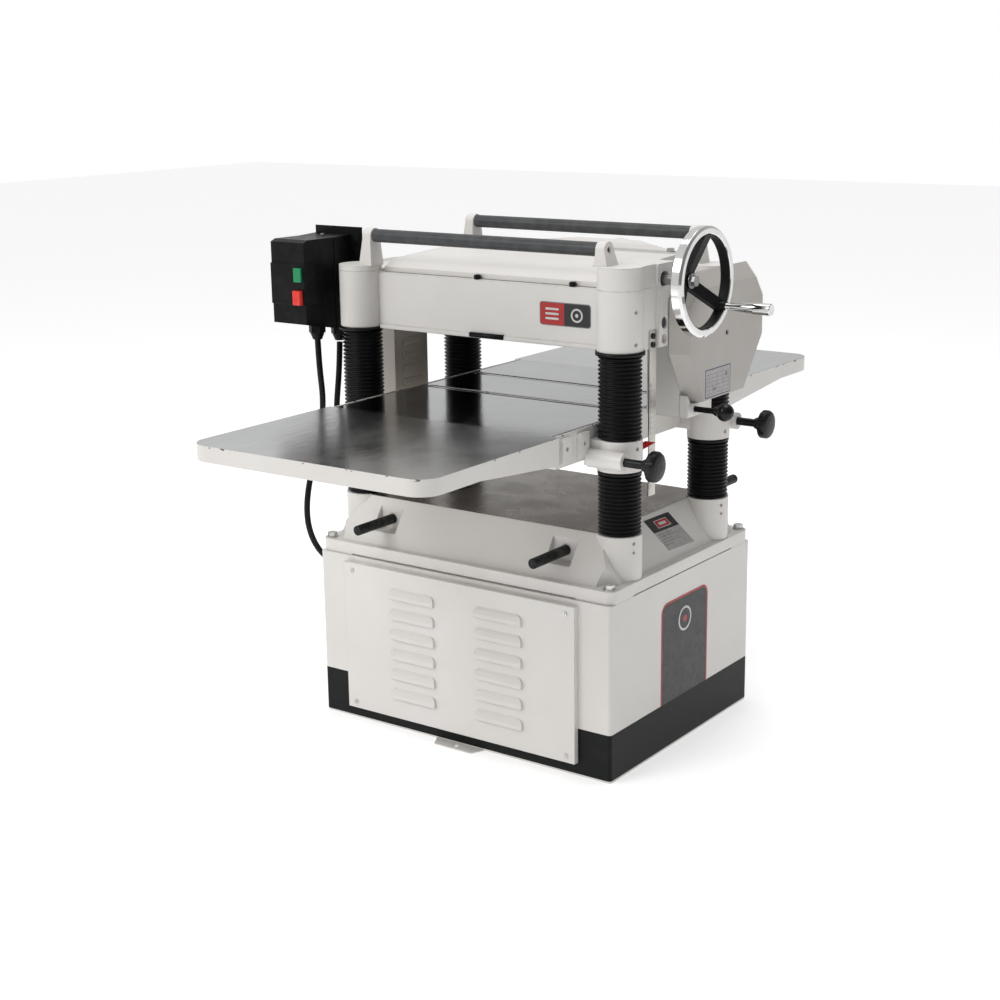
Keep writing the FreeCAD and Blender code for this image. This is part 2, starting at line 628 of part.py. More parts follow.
def return_roller(sy):
    y = sy * RETURN_Y
    end = RETURN_HALF + 16
    body = RETURN_HALF - 1
    return turned_x([(-end, 0), (-end, 6), (-body, 6), (-body, RETURN_R), (body, RETURN_R), (body, 6),
                     (end, 6), (end, 0)], y, RETURN_Z)


def cutterhead():
    half = WORK_HALF + 2
    profile = [(-426, 0), (-426, 14), (-HEAD_X, 14), (-HEAD_X, CUTTER_JOURNAL_R), (-half - 50, CUTTER_JOURNAL_R),
               (-half, 30), (-half, CUTTER_R - 3), (half, CUTTER_R - 3), (half, 30),
               (half + 50, CUTTER_JOURNAL_R), (HEAD_X + 1, CUTTER_JOURNAL_R), (HEAD_X + 1, 0)]
    body = turned_x(profile, CUTTER_Y, CUTTER_Z)
    for i in range(4):
        slot = block(-WORK_HALF - 3, WORK_HALF + 3, CUTTER_Y - 3, CUTTER_Y + 13, CUTTER_Z + 20, CUTTER_Z + 60)
        slot.rotate(vec(0, CUTTER_Y, CUTTER_Z), vec(1, 0, 0), 90 * i + 45)
        body = body.cut(slot)
    return body


def knives():
    """Four straight knives, each held by its gib bar."""
    pieces = []
    for i in range(4):
        knife = block(-WORK_HALF, WORK_HALF, CUTTER_Y - 3, CUTTER_Y, CUTTER_Z + 20, CUTTER_Z + CUTTER_R)
        gib = block(-WORK_HALF, WORK_HALF, CUTTER_Y, CUTTER_Y + 12, CUTTER_Z + 20, CUTTER_Z + CUTTER_R - 6)
        for piece in (knife, gib):
            piece.rotate(vec(0, CUTTER_Y, CUTTER_Z), vec(1, 0, 0), 90 * i + 45)
            pieces.append(piece)
    return pieces


PULLEY_X0 = -418.0
PULLEY_X1 = -364.0
CUTTER_PULLEY_R = 42.0
MOTOR_PULLEY_R = 60.0
BELT_HIGH = 9.0
GROOVES = [-404.0, -391.0, -378.0]


def pulley(z, r):
    """A three-groove V-belt pulley on an axis along X."""
    profile = [(PULLEY_X0, 0), (PULLEY_X0, r)]
    for gx in GROOVES:
        profile += [(gx - 5.2, r), (gx - 3.4, r - BELT_HIGH), (gx + 3.4, r - BELT_HIGH), (gx + 5.2, r)]
    profile += [(PULLEY_X1, r), (PULLEY_X1, 0)]
    return turned_x(profile, CUTTER_Y, z).cut(rod_x(PULLEY_X0 - 1, PULLEY_X1 + 1, CUTTER_Y, z, 14))


def loop_around(x0, x1, low, high, r_low, r_high, thick):
    """A belt or chain round two wheels one above the other on the cutter's Y."""
    def hull(extra):
        ra = r_low + extra
        rb = r_high + extra
        lean = math.asin((ra - rb) / (high - low))
        dy = math.cos(lean)
        dz = math.sin(lean)
        quad = [(CUTTER_Y - ra * dy, low + ra * dz), (CUTTER_Y + ra * dy, low + ra * dz),
                (CUTTER_Y + rb * dy, high + rb * dz), (CUTTER_Y - rb * dy, high + rb * dz)]
        return join([prism_x(quad, x0, x1), rod_x(x0, x1, CUTTER_Y, low, ra), rod_x(x0, x1, CUTTER_Y, high, rb)])
    return hull(thick).cut(hull(0))


def feed_roller(y, ribbed):
    half = WORK_HALF + 2
    end = HEAD_X - 1
    profile = [(-end, 0), (-end, FEED_JOURNAL_R), (-half, FEED_JOURNAL_R)]
    if ribbed:
        steps = 16
        pitch = 2.0 * half / steps
        for i in range(steps):
            x = -half + pitch * i
            profile += [(x, FEED_R - 2), (x + 3, FEED_R - 2), (x + 3, FEED_R), (x + pitch, FEED_R)]
        profile += [(half, FEED_R)]
    else:
        profile += [(-half, FEED_R), (half, FEED_R)]
    profile += [(half, FEED_JOURNAL_R), (SPROCKET_X1, FEED_JOURNAL_R), (SPROCKET_X1, 0)]
    body = turned_x(profile, y, FEED_Z)
    return join([body, sprocket(y, FEED_Z, FEED_SPROCKET_R)])


DRIVE_Y = 52.0
DRIVE_Z = 745.0


def sprocket(y, z, r):
    disc = rod_x(SPROCKET_X0, SPROCKET_X1, y, z, r)
    teeth = []
    count = int(round(r * 0.7))
    for i in range(count):
        a = 2 * math.pi * i / count
        teeth.append(rod_x(SPROCKET_X0 + 1, SPROCKET_X1 - 1, y + r * math.cos(a), z + r * math.sin(a), 2.0))
    return join([disc] + teeth)


def feed_drive_shaft():
    """The gearbox's output shaft and its sprocket."""
    shaft = rod_x(HEAD_X - 30, SPROCKET_X1 + 2, DRIVE_Y, DRIVE_Z, 10)
    return join([shaft, sprocket(DRIVE_Y, DRIVE_Z, DRIVE_SPROCKET_R)])


def feed_chain():
    """The chain that drives both feed rollers from the gearbox."""
    centres = [(FEED_IN_Y, FEED_Z), (DRIVE_Y, DRIVE_Z), (FEED_OUT_Y, FEED_Z)]
    loop = [vec(SPROCKET_X0, y, z) for y, z in centres]
    wire = Part.makePolygon(loop + loop[:1])
    inner = FEED_SPROCKET_R + 2.6
    outside = Part.Face(wire.makeOffset2D(inner + 4)).extrude(vec(SPROCKET_X1 - SPROCKET_X0, 0, 0))
    inside = Part.Face(wire.makeOffset2D(inner)).extrude(vec(SPROCKET_X1 - SPROCKET_X0, 0, 0))
    return outside.cut(inside)


def lift_chain():
    """The chain under the base that turns the four lead screws together."""
    z0 = CABINET_TOP + 7
    corners = [vec(sx * COLUMN_X, sy * COLUMN_Y, z0) for sx, sy in ((-1, -1), (1, -1), (1, 1), (-1, 1))]
    wire = Part.makePolygon(corners + corners[:1])
    outside = Part.Face(wire.makeOffset2D(34)).extrude(vec(0, 0, 6))
    inside = Part.Face(wire.makeOffset2D(30)).extrude(vec(0, 0, 6))
    return outside.cut(inside)


def bearings():
    rings = []
    for sx in (-1, 1):
        x0 = min(sx * (HEAD_X - 24), sx * (HEAD_X - 4))
        rings.append(rod_x(x0, x0 + 20, CUTTER_Y, CUTTER_Z, CUTTER_BEARING_R).cut(
            rod_x(x0 - 1, x0 + 21, CUTTER_Y, CUTTER_Z, CUTTER_JOURNAL_R + RUN_FIT)))
        for y in (FEED_IN_Y, FEED_OUT_Y):
            rings.append(rod_x(x0, x0 + 20, y, FEED_Z, FEED_BUSH_R).cut(
                rod_x(x0 - 1, x0 + 21, y, FEED_Z, FEED_JOURNAL_R + RUN_FIT)))
    return rings


def kickback_fingers():
    """A row of hanging fingers on a shaft in front of the infeed roller."""
    shaft = rod_x(-HEAD_X + 4, HEAD_X - 4, FINGER_Y, FINGER_Z, FINGER_SHAFT_R)
    fingers = []
    count = 18
    for i in range(count):
        x = -WORK_HALF + 8 + i * (2 * WORK_HALF - 16) / (count - 1)
        outline = [(FINGER_Y - 12, FINGER_Z + 4), (FINGER_Y + 12, FINGER_Z + 4), (FINGER_Y + 4, CUT_LINE + 3),
                   (FINGER_Y - 3, CUT_LINE + 3)]
        fingers.append(prism_x(outline, x - 4, x + 4))
    return join([shaft] + fingers)


def chip_breaker():
    y = CUTTER_Y - CUTTER_R - 16
    bar = prism_x([(y, 862), (y + 12, 866), (y + 12, 900), (y - 4, 900), (y - 4, 872)],
                  -HEAD_X + SIDE_WALL, HEAD_X - SIDE_WALL)
    return bar


COVER_FRONT = -150.0
COVER_REAR = 160.0
COVER_HALF = 257.0


def top_cover():
    """A pressed steel lid over the cutterhead, hinged at its rear edge."""
    low = HEAD_SPLIT - 3.5
    outline = [(COVER_FRONT, low), (COVER_FRONT, 921), (-124, 935), (118, 946), (COVER_REAR, 938),
               (COVER_REAR, low)]
    inside = [(COVER_FRONT + 2, low - 1), (COVER_FRONT + 2, 919.6), (-123.5, 932.6), (118, 943.6),
              (COVER_REAR - 2, 936), (COVER_REAR - 2, low - 1)]
    lid = prism_x(outline, -COVER_HALF, COVER_HALF).cut(prism_x(inside, -COVER_HALF + 2, COVER_HALF - 2))
    return join([lid, rod_x(-COVER_HALF + 4, COVER_HALF - 4, COVER_REAR, 938, 1.8)])


PORT_Z = 884.0
PORT_R = 62.5
PORT_END = 330.0
HOOD_HALF = 232.0


def dust_hood():
    """A sheet hood behind the head that gathers the chips into a round port."""
    z0 = HEAD_LOW + 22
    z1 = HEAD_SPLIT + 26
    root = REAR_BEAM_Y
    def ring(y, half, low, high):
        loop = [vec(-half, y, low), vec(half, y, low), vec(half, y, high), vec(-half, y, high)]
        return Part.makePolygon(loop + loop[:1])
    outer = Part.makeLoft([ring(root, HOOD_HALF, z0, z1), ring(root + 96, 74, PORT_Z - 66, PORT_Z + 66)],
                          True, True)
    inner = Part.makeLoft([ring(root - 0.5, HOOD_HALF - 2, z0 + 2, z1 - 2),
                           ring(root + 94, 72, PORT_Z - 64, PORT_Z + 64)],
                          True, True)
    port = rod_y(root + 96, PORT_END, 0, PORT_Z, PORT_R)
    flange = block(-HOOD_HALF - 8, HOOD_HALF + 8, root - 22, root + 12, z1 - 1, z1 + 3)
    hood = join([outer, port, flange])
    hood = hood.cut(inner)
    return hood.cut(rod_y(root + 93, PORT_END + 1, 0, PORT_Z, PORT_R - 2))


def hood_bolts():
    bolts = []
    z = HEAD_SPLIT + 29
    for x in (-222, -5, 212):
        bolts.append(join([rod_z(z, z + 1.5, x, REAR_BEAM_Y - 8, 9), hexagon_z(x, REAR_BEAM_Y - 8, z + 1.5, z + 7, 13)]))
    return bolts


# ---------------------------------------------------------------- drives
GEARBOX_FRONT = -33.0
GEARBOX_REAR = 85.0
GEARBOX_LOW = 660.0
LEVER_Y = -16.0
LEVER_Z = 676.0
LEVER_R = 5.5
BALL_X = 441.0
BALL_R = 17.0
COVER_X0 = 352.0
COVER_X1 = 382.0


def gearbox():
    body = block(282, COVER_X0, GEARBOX_FRONT, GEARBOX_REAR, GEARBOX_LOW, HEAD_LOW)
    body = body.cut(rod_x(HEAD_X - 31, COVER_X0 + 1, DRIVE_Y, DRIVE_Z, 10 + RUN_FIT))
    return body.cut(rod_x(BALL_X - 140, COVER_X0 + 1, LEVER_Y, LEVER_Z, LEVER_R + RUN_FIT))


def gearbox_plate():
    outline = [(GEARBOX_FRONT, GEARBOX_LOW), (60, GEARBOX_LOW), (60, 684), (-19, 684), (GEARBOX_FRONT, 704)]
    plate = prism_x(outline, COVER_X0 + 1, COVER_X0 + 18)
    spigot = rod_x(COVER_X0, COVER_X0 + 2, 30, 672, 8)
    boss = rod_x(COVER_X0 + 17, COVER_X0 + 25, LEVER_Y, LEVER_Z, 11)
    body = join([plate, spigot, boss])
    return body.cut(rod_x(COVER_X0 - 1, COVER_X0 + 30, LEVER_Y, LEVER_Z, LEVER_R + RUN_FIT))


def shift_lever():
    rod = rod_x(BALL_X - 120, BALL_X, LEVER_Y, LEVER_Z, LEVER_R)
    ball = Part.makeSphere(BALL_R, vec(BALL_X, LEVER_Y, LEVER_Z))
    collar = cone_x(BALL_X - 22, BALL_X - 13, LEVER_Y, LEVER_Z, 7.5, 11)
    return join([rod, ball, collar])


def gear_cover():
    """A hollow cover with chamfered sides over the feed chain."""
    mount = [(-17, 687), (169, 687), (219, 752), (262, 800), (268, 868), (225, 928), (-32, 928), (-74, 888),
             (-74, 787)]
    face = [(7, 687), (167, 687), (216, 752), (241, 786), (241, 862), (212, 900), (-18, 900), (-47, 872),
            (-47, 783)]
    wall = 2.5

    def ring(points, x, inset):
        cy = sum(p[0] for p in points) / len(points)
        cz = sum(p[1] for p in points) / len(points)
        loop = []
        for y, z in points:
            away = math.hypot(y - cy, z - cz)
            keep = (away - inset) / away
            loop.append(vec(x, cy + (y - cy) * keep, cz + (z - cz) * keep))
        return Part.makePolygon(loop + loop[:1])
    outer = Part.makeLoft([ring(mount, COVER_X0, 0), ring(face, COVER_X1, 0)], True, True)
    inner = Part.makeLoft([ring(mount, COVER_X0 - 0.01, 1.3 * wall), ring(face, COVER_X1 - wall, 1.3 * wall)],
                          True, True)
    cover = outer.cut(inner)
    return cover.cut(rod_x(COVER_X0, COVER_X1 + 1, 96, 807, 5))


GUARD_X0 = -430.0
GUARD_FRONT = -12.0
GUARD_REAR = 100.0
GUARD_LOW = 105.0
GUARD_TOP = 906.0
GUARD_SHEET = 2.0


def belt_guard():
    """A sheet housing for the V-belts down the left side, louvred towards the columns."""
    outline = [(GUARD_FRONT, GUARD_TOP), (GUARD_REAR, GUARD_TOP), (GUARD_REAR, 400), (133, 340), (133, GUARD_LOW),
               (-45, GUARD_LOW), (-45, 340), (GUARD_FRONT, 400)]
    cy = CUTTER_Y
    t = GUARD_SHEET
    inside = []
    for y, z in outline:
        inside.append((y - t if y > cy else y + t, z - t if z > 800 else (z + t if z == GUARD_LOW else z)))
    shell = prism_x(outline, GUARD_X0, -CABINET_X)
    shell = shell.cut(prism_x(inside, GUARD_X0 + t, -CABINET_X - t))
    hoods = []
    slots = []
    for i in range(5):
        top = 748 - 29 * i
        x = -CABINET_X
        profile = [(x - 0.5, top), (x + 2.5, top - 4), (x + 5, top - 11), (x + 5.5, top - 17), (x - 0.5, top - 17)]
        hoods.append(prism_y(profile, 14, 78))
        slots.append(block(x - 3, x + 4.2, 16, 76, top - 18, top - 9))
    shell = join([shell] + hoods)
    for slot in slots:
        shell = shell.cut(slot)
    shell = shell.cut(rod_x(-CABINET_X - 5, -CABINET_X + 1, CUTTER_Y, CUTTER_Z, 36))
    return shell.cut(rod_x(-CABINET_X - 5, -CABINET_X + 1, CUTTER_Y, MOTOR_Z, SHAFT_HOLE_R))


def motor():
    """The motor housing with its fins, foot and terminal box."""
    body = rod_x(-270, 20, MOTOR_Y, MOTOR_Z, 80)
    fan_cover = rod_x(20, 60, MOTOR_Y, MOTOR_Z, 84)
    parts = [body, fan_cover, block(-250, 0, MOTOR_Y - 70, MOTOR_Y + 70, SHELF_TOP, MOTOR_Z - 50),
             block(-190, -80, MOTOR_Y - 40, MOTOR_Y + 40, MOTOR_Z + 70, MOTOR_Z + 110)]
    for i in range(16):
        a = math.radians(22.5 * i)
        fin = block(-255, 10, -2, 2, 70, 88)
        fin.rotate(vec(0, 0, 0), vec(1, 0, 0), math.degrees(a))
        fin.translate(vec(0, MOTOR_Y, MOTOR_Z))
        parts.append(fin)
    body = join(parts)
    return body.cut(rod_x(-300, -200, MOTOR_Y, MOTOR_Z, 14 + RUN_FIT))


SHELF_TOP = 92.0


def motor_shelf():
    shelf = block(-270, 20, -CABINET_Y + SHEET, CABINET_Y - SHEET, SHELF_TOP - 8, SHELF_TOP)
    ribs = [block(x, x + 6, -CABINET_Y + SHEET, CABINET_Y - SHEET, SHELF_TOP - 40, SHELF_TOP - 7) for x in (-250, -6)]
    return join([shelf] + ribs)


def motor_rotor():
    shaft = rod_x(-420, -200.5, MOTOR_Y, MOTOR_Z, 14)
    return shaft


# ---------------------------------------------------------------- handwheel
def handwheel():
    back = WHEEL_FACE - RIM_WIDTH
    inner = WHEEL_R - RIM
    rim = turned_x([(back, inner + 2), (back + 3, inner), (WHEEL_FACE - 3, inner), (WHEEL_FACE, inner + 3),
                    (WHEEL_FACE, WHEEL_R - 4), (WHEEL_FACE - 4, WHEEL_R), (back + 3, WHEEL_R), (back, WHEEL_R - 3)],
                   WHEEL_Y, WHEEL_Z)
    hub = rod_x(WHEEL_FACE - 56, WHEEL_FACE - 36, WHEEL_Y, WHEEL_Z, 19)
    parts = [rim, hub]
    for i in range(3):
        spoke = prism_y([(WHEEL_FACE - 52, 10), (WHEEL_FACE - 38, 10), (WHEEL_FACE - 5, inner + 3),
                         (WHEEL_FACE - 17, inner + 3)], -11, 11)
        spoke.rotate(vec(0, 0, 0), vec(1, 0, 0), HANDLE_ANGLE - 90 + 120 * i)
        spoke.translate(vec(0, WHEEL_Y, WHEEL_Z))
        parts.append(spoke)
    a = math.radians(HANDLE_ANGLE)
    hy = WHEEL_Y + HANDLE_AT * math.cos(a)
    hz = WHEEL_Z + HANDLE_AT * math.sin(a)
    parts.append(rod_x(WHEEL_FACE - 16, WHEEL_FACE + 2, hy, hz, 9))
    parts.append(rod_x(WHEEL_FACE - 16, WHEEL_FACE + HANDLE_LENGTH - 8, hy, hz, 4))
    body = join(parts)
    return body.cut(rod_x(WHEEL_FACE - 60, WHEEL_FACE - 30, WHEEL_Y, WHEEL_Z, SHAFT_R))


def handwheel_shaft():
    """The shaft from the handwheel into the cap, with its bevel pinion and end nut."""
    shaft = rod_x(289, WHEEL_FACE - 34, WHEEL_Y, WHEEL_Z, SHAFT_R)
    collar = rod_x(WHEEL_FACE - 66, WHEEL_FACE - 56, WHEEL_Y, WHEEL_Z, 13)
    pinion = cone_x(289, 299, WHEEL_Y, WHEEL_Z, 9.5, 17)
    nut = rod_x(WHEEL_FACE - 34, WHEEL_FACE - 32, WHEEL_Y, WHEEL_Z, 14)
    points = []
    for i in range(6):
        t = math.radians(60 * i)
        points.append((WHEEL_Y + 10.5 * math.cos(t), WHEEL_Z + 10.5 * math.sin(t)))
    hexagon = prism_x(points, WHEEL_FACE - 32, WHEEL_FACE - 23)
    return join([shaft, collar, pinion, nut, hexagon])


def wheel_handle():
    a = math.radians(HANDLE_ANGLE)
    hy = WHEEL_Y + HANDLE_AT * math.cos(a)
    hz = WHEEL_Z + HANDLE_AT * math.sin(a)
    x0 = WHEEL_FACE + 2 + FIT
    x1 = WHEEL_FACE + HANDLE_LENGTH
    grip = turned_x([(x0, 0), (x0, 7), (x0 + 10, 7), (x0 + 30, 8.5), (x0 + 58, 10.8), (x1 - 1.5, 11.2),
                     (x1, 10), (x1, 0)], hy, hz)
    return grip.cut(rod_x(x0 - 1, WHEEL_FACE + HANDLE_LENGTH - 7, hy, hz, 4 + RUN_FIT))


def lifting_bar(sx, sy, out):
    y0 = min(sy * out, sy * (out - BAR_LENGTH))
    bar = rod_y(y0, y0 + BAR_LENGTH, sx * BAR_X, BAR_Z, BAR_R)
    return bar.makeChamfer(1.2, [e for e in bar.Edges if len(e.Vertexes) == 1])


# ---------------------------------------------------------------- switch, scale, cables
SWITCH_RIGHT = SWITCH_X + SWITCH_W
PANEL_FACE = SWITCH_FRONT - 3.0
GLAND_1 = (-400.0, -198.0)
GLAND_2 = (-400.0, -130.0)
BUTTON_X0 = -402.0
BUTTON_X1 = -383.0


def switch_base():
    outline = [(SWITCH_SEAM, 789), (SWITCH_BACK, 781), (SWITCH_BACK, SWITCH_TOP + 2), (SWITCH_SEAM, SWITCH_TOP)]
    body = prism_x(outline, SWITCH_X, SWITCH_RIGHT)
    return body.cut(block(SWITCH_X + 3, SWITCH_RIGHT - 3, SWITCH_SEAM - 1, SWITCH_BACK - 4, 794, SWITCH_TOP - 3))


def switch_cover():
    outline = [(SWITCH_FRONT, 807), (SWITCH_SEAM, 789), (SWITCH_SEAM, SWITCH_TOP), (-240, SWITCH_TOP + 1),
               (SWITCH_FRONT, SWITCH_TOP - 4)]
    body = prism_x(outline, SWITCH_X + 1.5, SWITCH_RIGHT - 1.5)
    body = join([body, block(SWITCH_X + 1, SWITCH_RIGHT - 1, PANEL_FACE, SWITCH_SEAM - 30, 846, 928)])
    room = [(SWITCH_FRONT + 4, 811), (SWITCH_SEAM + 1, 794), (SWITCH_SEAM + 1, SWITCH_TOP - 3),
            (SWITCH_FRONT + 4, SWITCH_TOP - 7)]
    body = body.cut(prism_x(room, SWITCH_X + 3.5, SWITCH_RIGHT - 3.5))
    for z0, z1 in ((893, 921), (847.5, 876)):
        body = body.cut(block(BUTTON_X0 - FIT, BUTTON_X1 + FIT, PANEL_FACE - 1, SWITCH_FRONT + 6, z0 - FIT, z1 + FIT))
    return body


def button(z0, z1, proud):
    stem = block(BUTTON_X0, BUTTON_X1, PANEL_FACE - proud, SWITCH_FRONT + 12, z0, z1)
    flange = block(BUTTON_X0 - 4, BUTTON_X1 + 1, SWITCH_FRONT + 4 + FIT, SWITCH_FRONT + 6, z0 - 4, z1 + 4)
    return join([stem, flange])


def switch_bracket():
    plate = block(SWITCH_X - 2, -HEAD_X + 3, SWITCH_BACK, SWITCH_BACK + 3, 850, SWITCH_TOP + 17)
    side = block(-HEAD_X - 3, -HEAD_X, SWITCH_BACK, -40, 850, HEAD_SPLIT - 8)
    return join([plate, side]).cut(block(-HEAD_X, -HEAD_X + 4, SWITCH_BACK - 1, SWITCH_BACK + 4, 840, HEAD_SPLIT + 5))


def gland(x, y, top):
    """A cable gland that hangs under the box; its top follows the box's sloping floor."""
    floor = [(SWITCH_FRONT, 807), (SWITCH_SEAM, 789), (SWITCH_BACK, 781), (SWITCH_BACK, 900), (SWITCH_FRONT, 900)]
    nut = hexagon_z(x, y, top - 12, top + 8, 30)
    cone = Part.makeCone(9.5, 15, 14, vec(x, y, top - 26), vec(0, 0, 1))
    body = join([nut, cone]).cut(prism_x(floor, SWITCH_X, SWITCH_RIGHT))
    return body.cut(rod_z(top - 40, top + 20, x, y, CABLE_R))


def elbow_gland():
    """The fitting on the cabinet's left side through which the motor cable enters."""
    x = ENTRY_X
    root = rod_x(x, -CABINET_X, CABLE_ENTRY_Y, CABLE_ENTRY_Z, 13)
    knee = Part.makeSphere(13, vec(x, CABLE_ENTRY_Y, CABLE_ENTRY_Z))
    mouth = rod_y(ENTRY_MOUTH, CABLE_ENTRY_Y, x, CABLE_ENTRY_Z, 12)
    neck = rod_x(-CABINET_X - 1, -CABINET_X + SHEET + 6, CABLE_ENTRY_Y, CABLE_ENTRY_Z, 9)
    return join([root, knee, mouth, neck]).cut(rod_y(ENTRY_MOUTH - 1, CABLE_ENTRY_Y, x, CABLE_ENTRY_Z, CABLE_R))


def depth_scale():
    return block(LINK_X, LINK_X + 2, -131, -107, 526, 836)


def screw_x(x, y, z, r):
    return rod_x(x, x + 2.5, y, z, r).cut(rod_x(x + 1.2, x + 3, y, z, 0.45 * r))


def cover_screws():
    """Small screws: access panel, depth scale, belt guard and switch box."""
    face_y = -CABINET_Y - PANEL_DEEP
    screws = []
    for sx in (-1, 1):
        for z in (PANEL_LOW + 13, PANEL_HIGH - 16):
            screws.append(small_screw_y(sx * (PANEL_X - 20), z, face_y))
    for z in (810, 826):
        screws.append(screw_x(LINK_X + 2, -119, z, 5.5))
    screws.append(screw_x(-CABINET_X, 37, 772, 6))
    screws.append(rod_z(SWITCH_TOP + 2, SWITCH_TOP + 5, SWITCH_X + 50, -150, 4).cut(
        rod_z(SWITCH_TOP + 4, SWITCH_TOP + 6, SWITCH_X + 50, -150, 2)))
    return screws


def soft_tube(points, r, label):
    """Straight runs joined by tangent arcs; each arc is as large as its two runs allow."""
    pts = [vec(*p) for p in points]
    edges = []
    length = 0.0
    start = pts[0]
    smallest = 1e9
    for i in range(1, len(pts) - 1):
        back = pts[i - 1] - pts[i]
        ahead = pts[i + 1] - pts[i]
        reach = 0.45 * min(back.Length, ahead.Length)
        turn = math.pi - back.getAngle(ahead)
        radius = reach / math.tan(turn / 2)
        smallest = min(smallest, radius)
        back.normalize()
        ahead.normalize()
        a = pts[i] + back * reach
        b = pts[i] + ahead * reach
        middle = back + ahead
        middle.normalize()
        depth = radius / math.cos(turn / 2) - radius
        edges.append(Part.LineSegment(start, a).toShape())
        edges.append(Part.Arc(a, pts[i] + middle * depth, b).toShape())
        length += (a - start).Length + radius * turn
        start = b
    edges.append(Part.LineSegment(start, pts[-1]).toShape())
    length += (pts[-1] - start).Length
    path = Part.Wire(edges)
    first = pts[1] - pts[0]
    circle = Part.Wire([Part.makeCircle(r, pts[0], first)])
    tube = path.makePipeShell([circle], True, True)
    print("%s: length %.0f mm, smallest radius %.0f mm, volume error %.2f%%"
          % (label, length, smallest, 100 * (tube.Volume / (math.pi * r * r * length) - 1)))
    return tube


MOTOR_CABLE = [(-400, -198, 770), (-400, -197, 735), (-400, -194, 694), (-399, -190, 650), (-399, -194, 604),
               (-400, -207, 559), (-400, -226, 515), (-401, -243, 470), (-402, -251, 424), (-402, -247, 380),
               (-401, -229, 340), (-401, -202, 309), (-400, -172, 290), (-400, -140, 285)]
COIL_X = -215.0
COIL_Y = 428.0
COIL_TURN_R = 75.0
MAINS_LEAD = [(-400, -130, 755), (-400, -133, 715), (-400, -139, 672), (-399, -148, 628), (-400, -148, 582),
              (-401, -137, 538), (-403, -119, 496), (-405, -101, 452), (-406, -88, 406), (-406, -82, 356),
              (-407, -79, 300), (-408, -80, 244), (-410, -83, 188), (-413, -82, 134), (-418, -70, 86),
              (-424, -46, 46), (-429, -10, 18), (-430, 36, 7), (-428, 86, 6.35), (-421, 138, 6.35),
              (-408, 190, 6.35), (-390, 240, 6.35), (-364, 285, 6.35), (-330, 319, 6.35), (-291, 339, 6.35),
              (-252, 346, 6.35), (-215, 346.5, 6.35)]
PLUG_LEAD = [(-133.5, 428, 18.9), (-132, 459, 18.9), (-125, 487, 19.2), (-110, 511, 19.1), (-87, 528, 18.9),
             (-59, 534, 18.9)]


def mains_coil():
    turn = 2 * CABLE_R
    outer = COIL_TURN_R + turn
    return rod_z(0, 2 * turn, COIL_X, COIL_Y, outer).cut(rod_z(-1, 2 * turn + 1, COIL_X, COIL_Y, COIL_TURN_R - turn))


def mains_plug():
    """A moulded plug with three pins, lying on the floor."""
    y = 534.0
    z = 18.9
    body = block(-45, -5, y - 18, y + 18, 0, 36)
    body = body.makeFillet(6, body.Edges)
    tail = cone_x(-59, -43, y, z, 9, 12)
    pins = [block(-6, 15, y - 10, y - 8, z - 3, z + 5), block(-6, 15, y + 8, y + 10, z - 3, z + 5),
            rod_x(-6, 16, y, z - 9, 2.4)]
    return join([body, tail] + pins)


save("head_casting", head_casting())
save("head_caps", [cap(sx, sy) for name, sx, sy in CORNERS])
save("return_roller_front", return_roller(-1))
save("return_roller_rear", return_roller(1))
save("cutterhead", [cutterhead(), pulley(CUTTER_Z, CUTTER_PULLEY_R)])
save("knives", knives())
save("drive_belts", [loop_around(gx - 2.8, gx + 2.8, MOTOR_Z, CUTTER_Z, MOTOR_PULLEY_R - BELT_HIGH + FIT,
                                 CUTTER_PULLEY_R - BELT_HIGH + FIT, 8) for gx in GROOVES])
save("infeed_roller", feed_roller(FEED_IN_Y, True))
save("outfeed_roller", feed_roller(FEED_OUT_Y, False))
save("feed_drive_shaft", feed_drive_shaft())
save("chains", [feed_chain(), lift_chain()])
save("bearings", bearings())
save("kickback_fingers", kickback_fingers())
save("chip_breaker", chip_breaker())
save("top_cover", top_cover())
save("dust_hood", dust_hood())
save("hex_bolts", base_bolts() + hood_bolts())
save("gearbox", [gearbox(), gearbox_plate()])
save("shift_lever", shift_lever())
save("gear_cover", gear_cover())
save("belt_guard", belt_guard())
save("motor", [motor(), motor_shelf()])
save("motor_rotor", [motor_rotor(), pulley(MOTOR_Z, MOTOR_PULLEY_R)])
save("handwheel", [handwheel(), handwheel_shaft()])
save("wheel_handle", wheel_handle())
for name, sx, sy in CORNERS:
    save("lifting_bar_" + name, lifting_bar(sx, sy, BAR_OUT_FAR if name == "rr" else BAR_OUT))
save("switch_base", switch_base())
save("switch_cover", switch_cover())
save("start_button", button(893, 921, 5))
save("stop_button", button(847.5, 876, 10))
save("switch_bracket", switch_bracket())
save("cable_glands", [gland(GLAND_1[0], GLAND_1[1], 796), gland(GLAND_2[0], GLAND_2[1], 785), elbow_gland()])
save("depth_scale", depth_scale())
save("cover_screws", cover_screws())
save("motor_cable", soft_tube(MOTOR_CABLE, CABLE_R, "motor cable"))
save("mains_lead", [soft_tube(MAINS_LEAD, CABLE_R, "mains lead"), soft_tube(PLUG_LEAD, CABLE_R, "plug end")])
save("mains_coil", mains_coil())
save("mains_plug", mains_plug())
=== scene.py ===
"""Looks of the thickness planer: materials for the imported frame, and the pieces that CAD leaves plain."""
import math
import bmesh
import bpy
from mathutils import Matrix, Vector


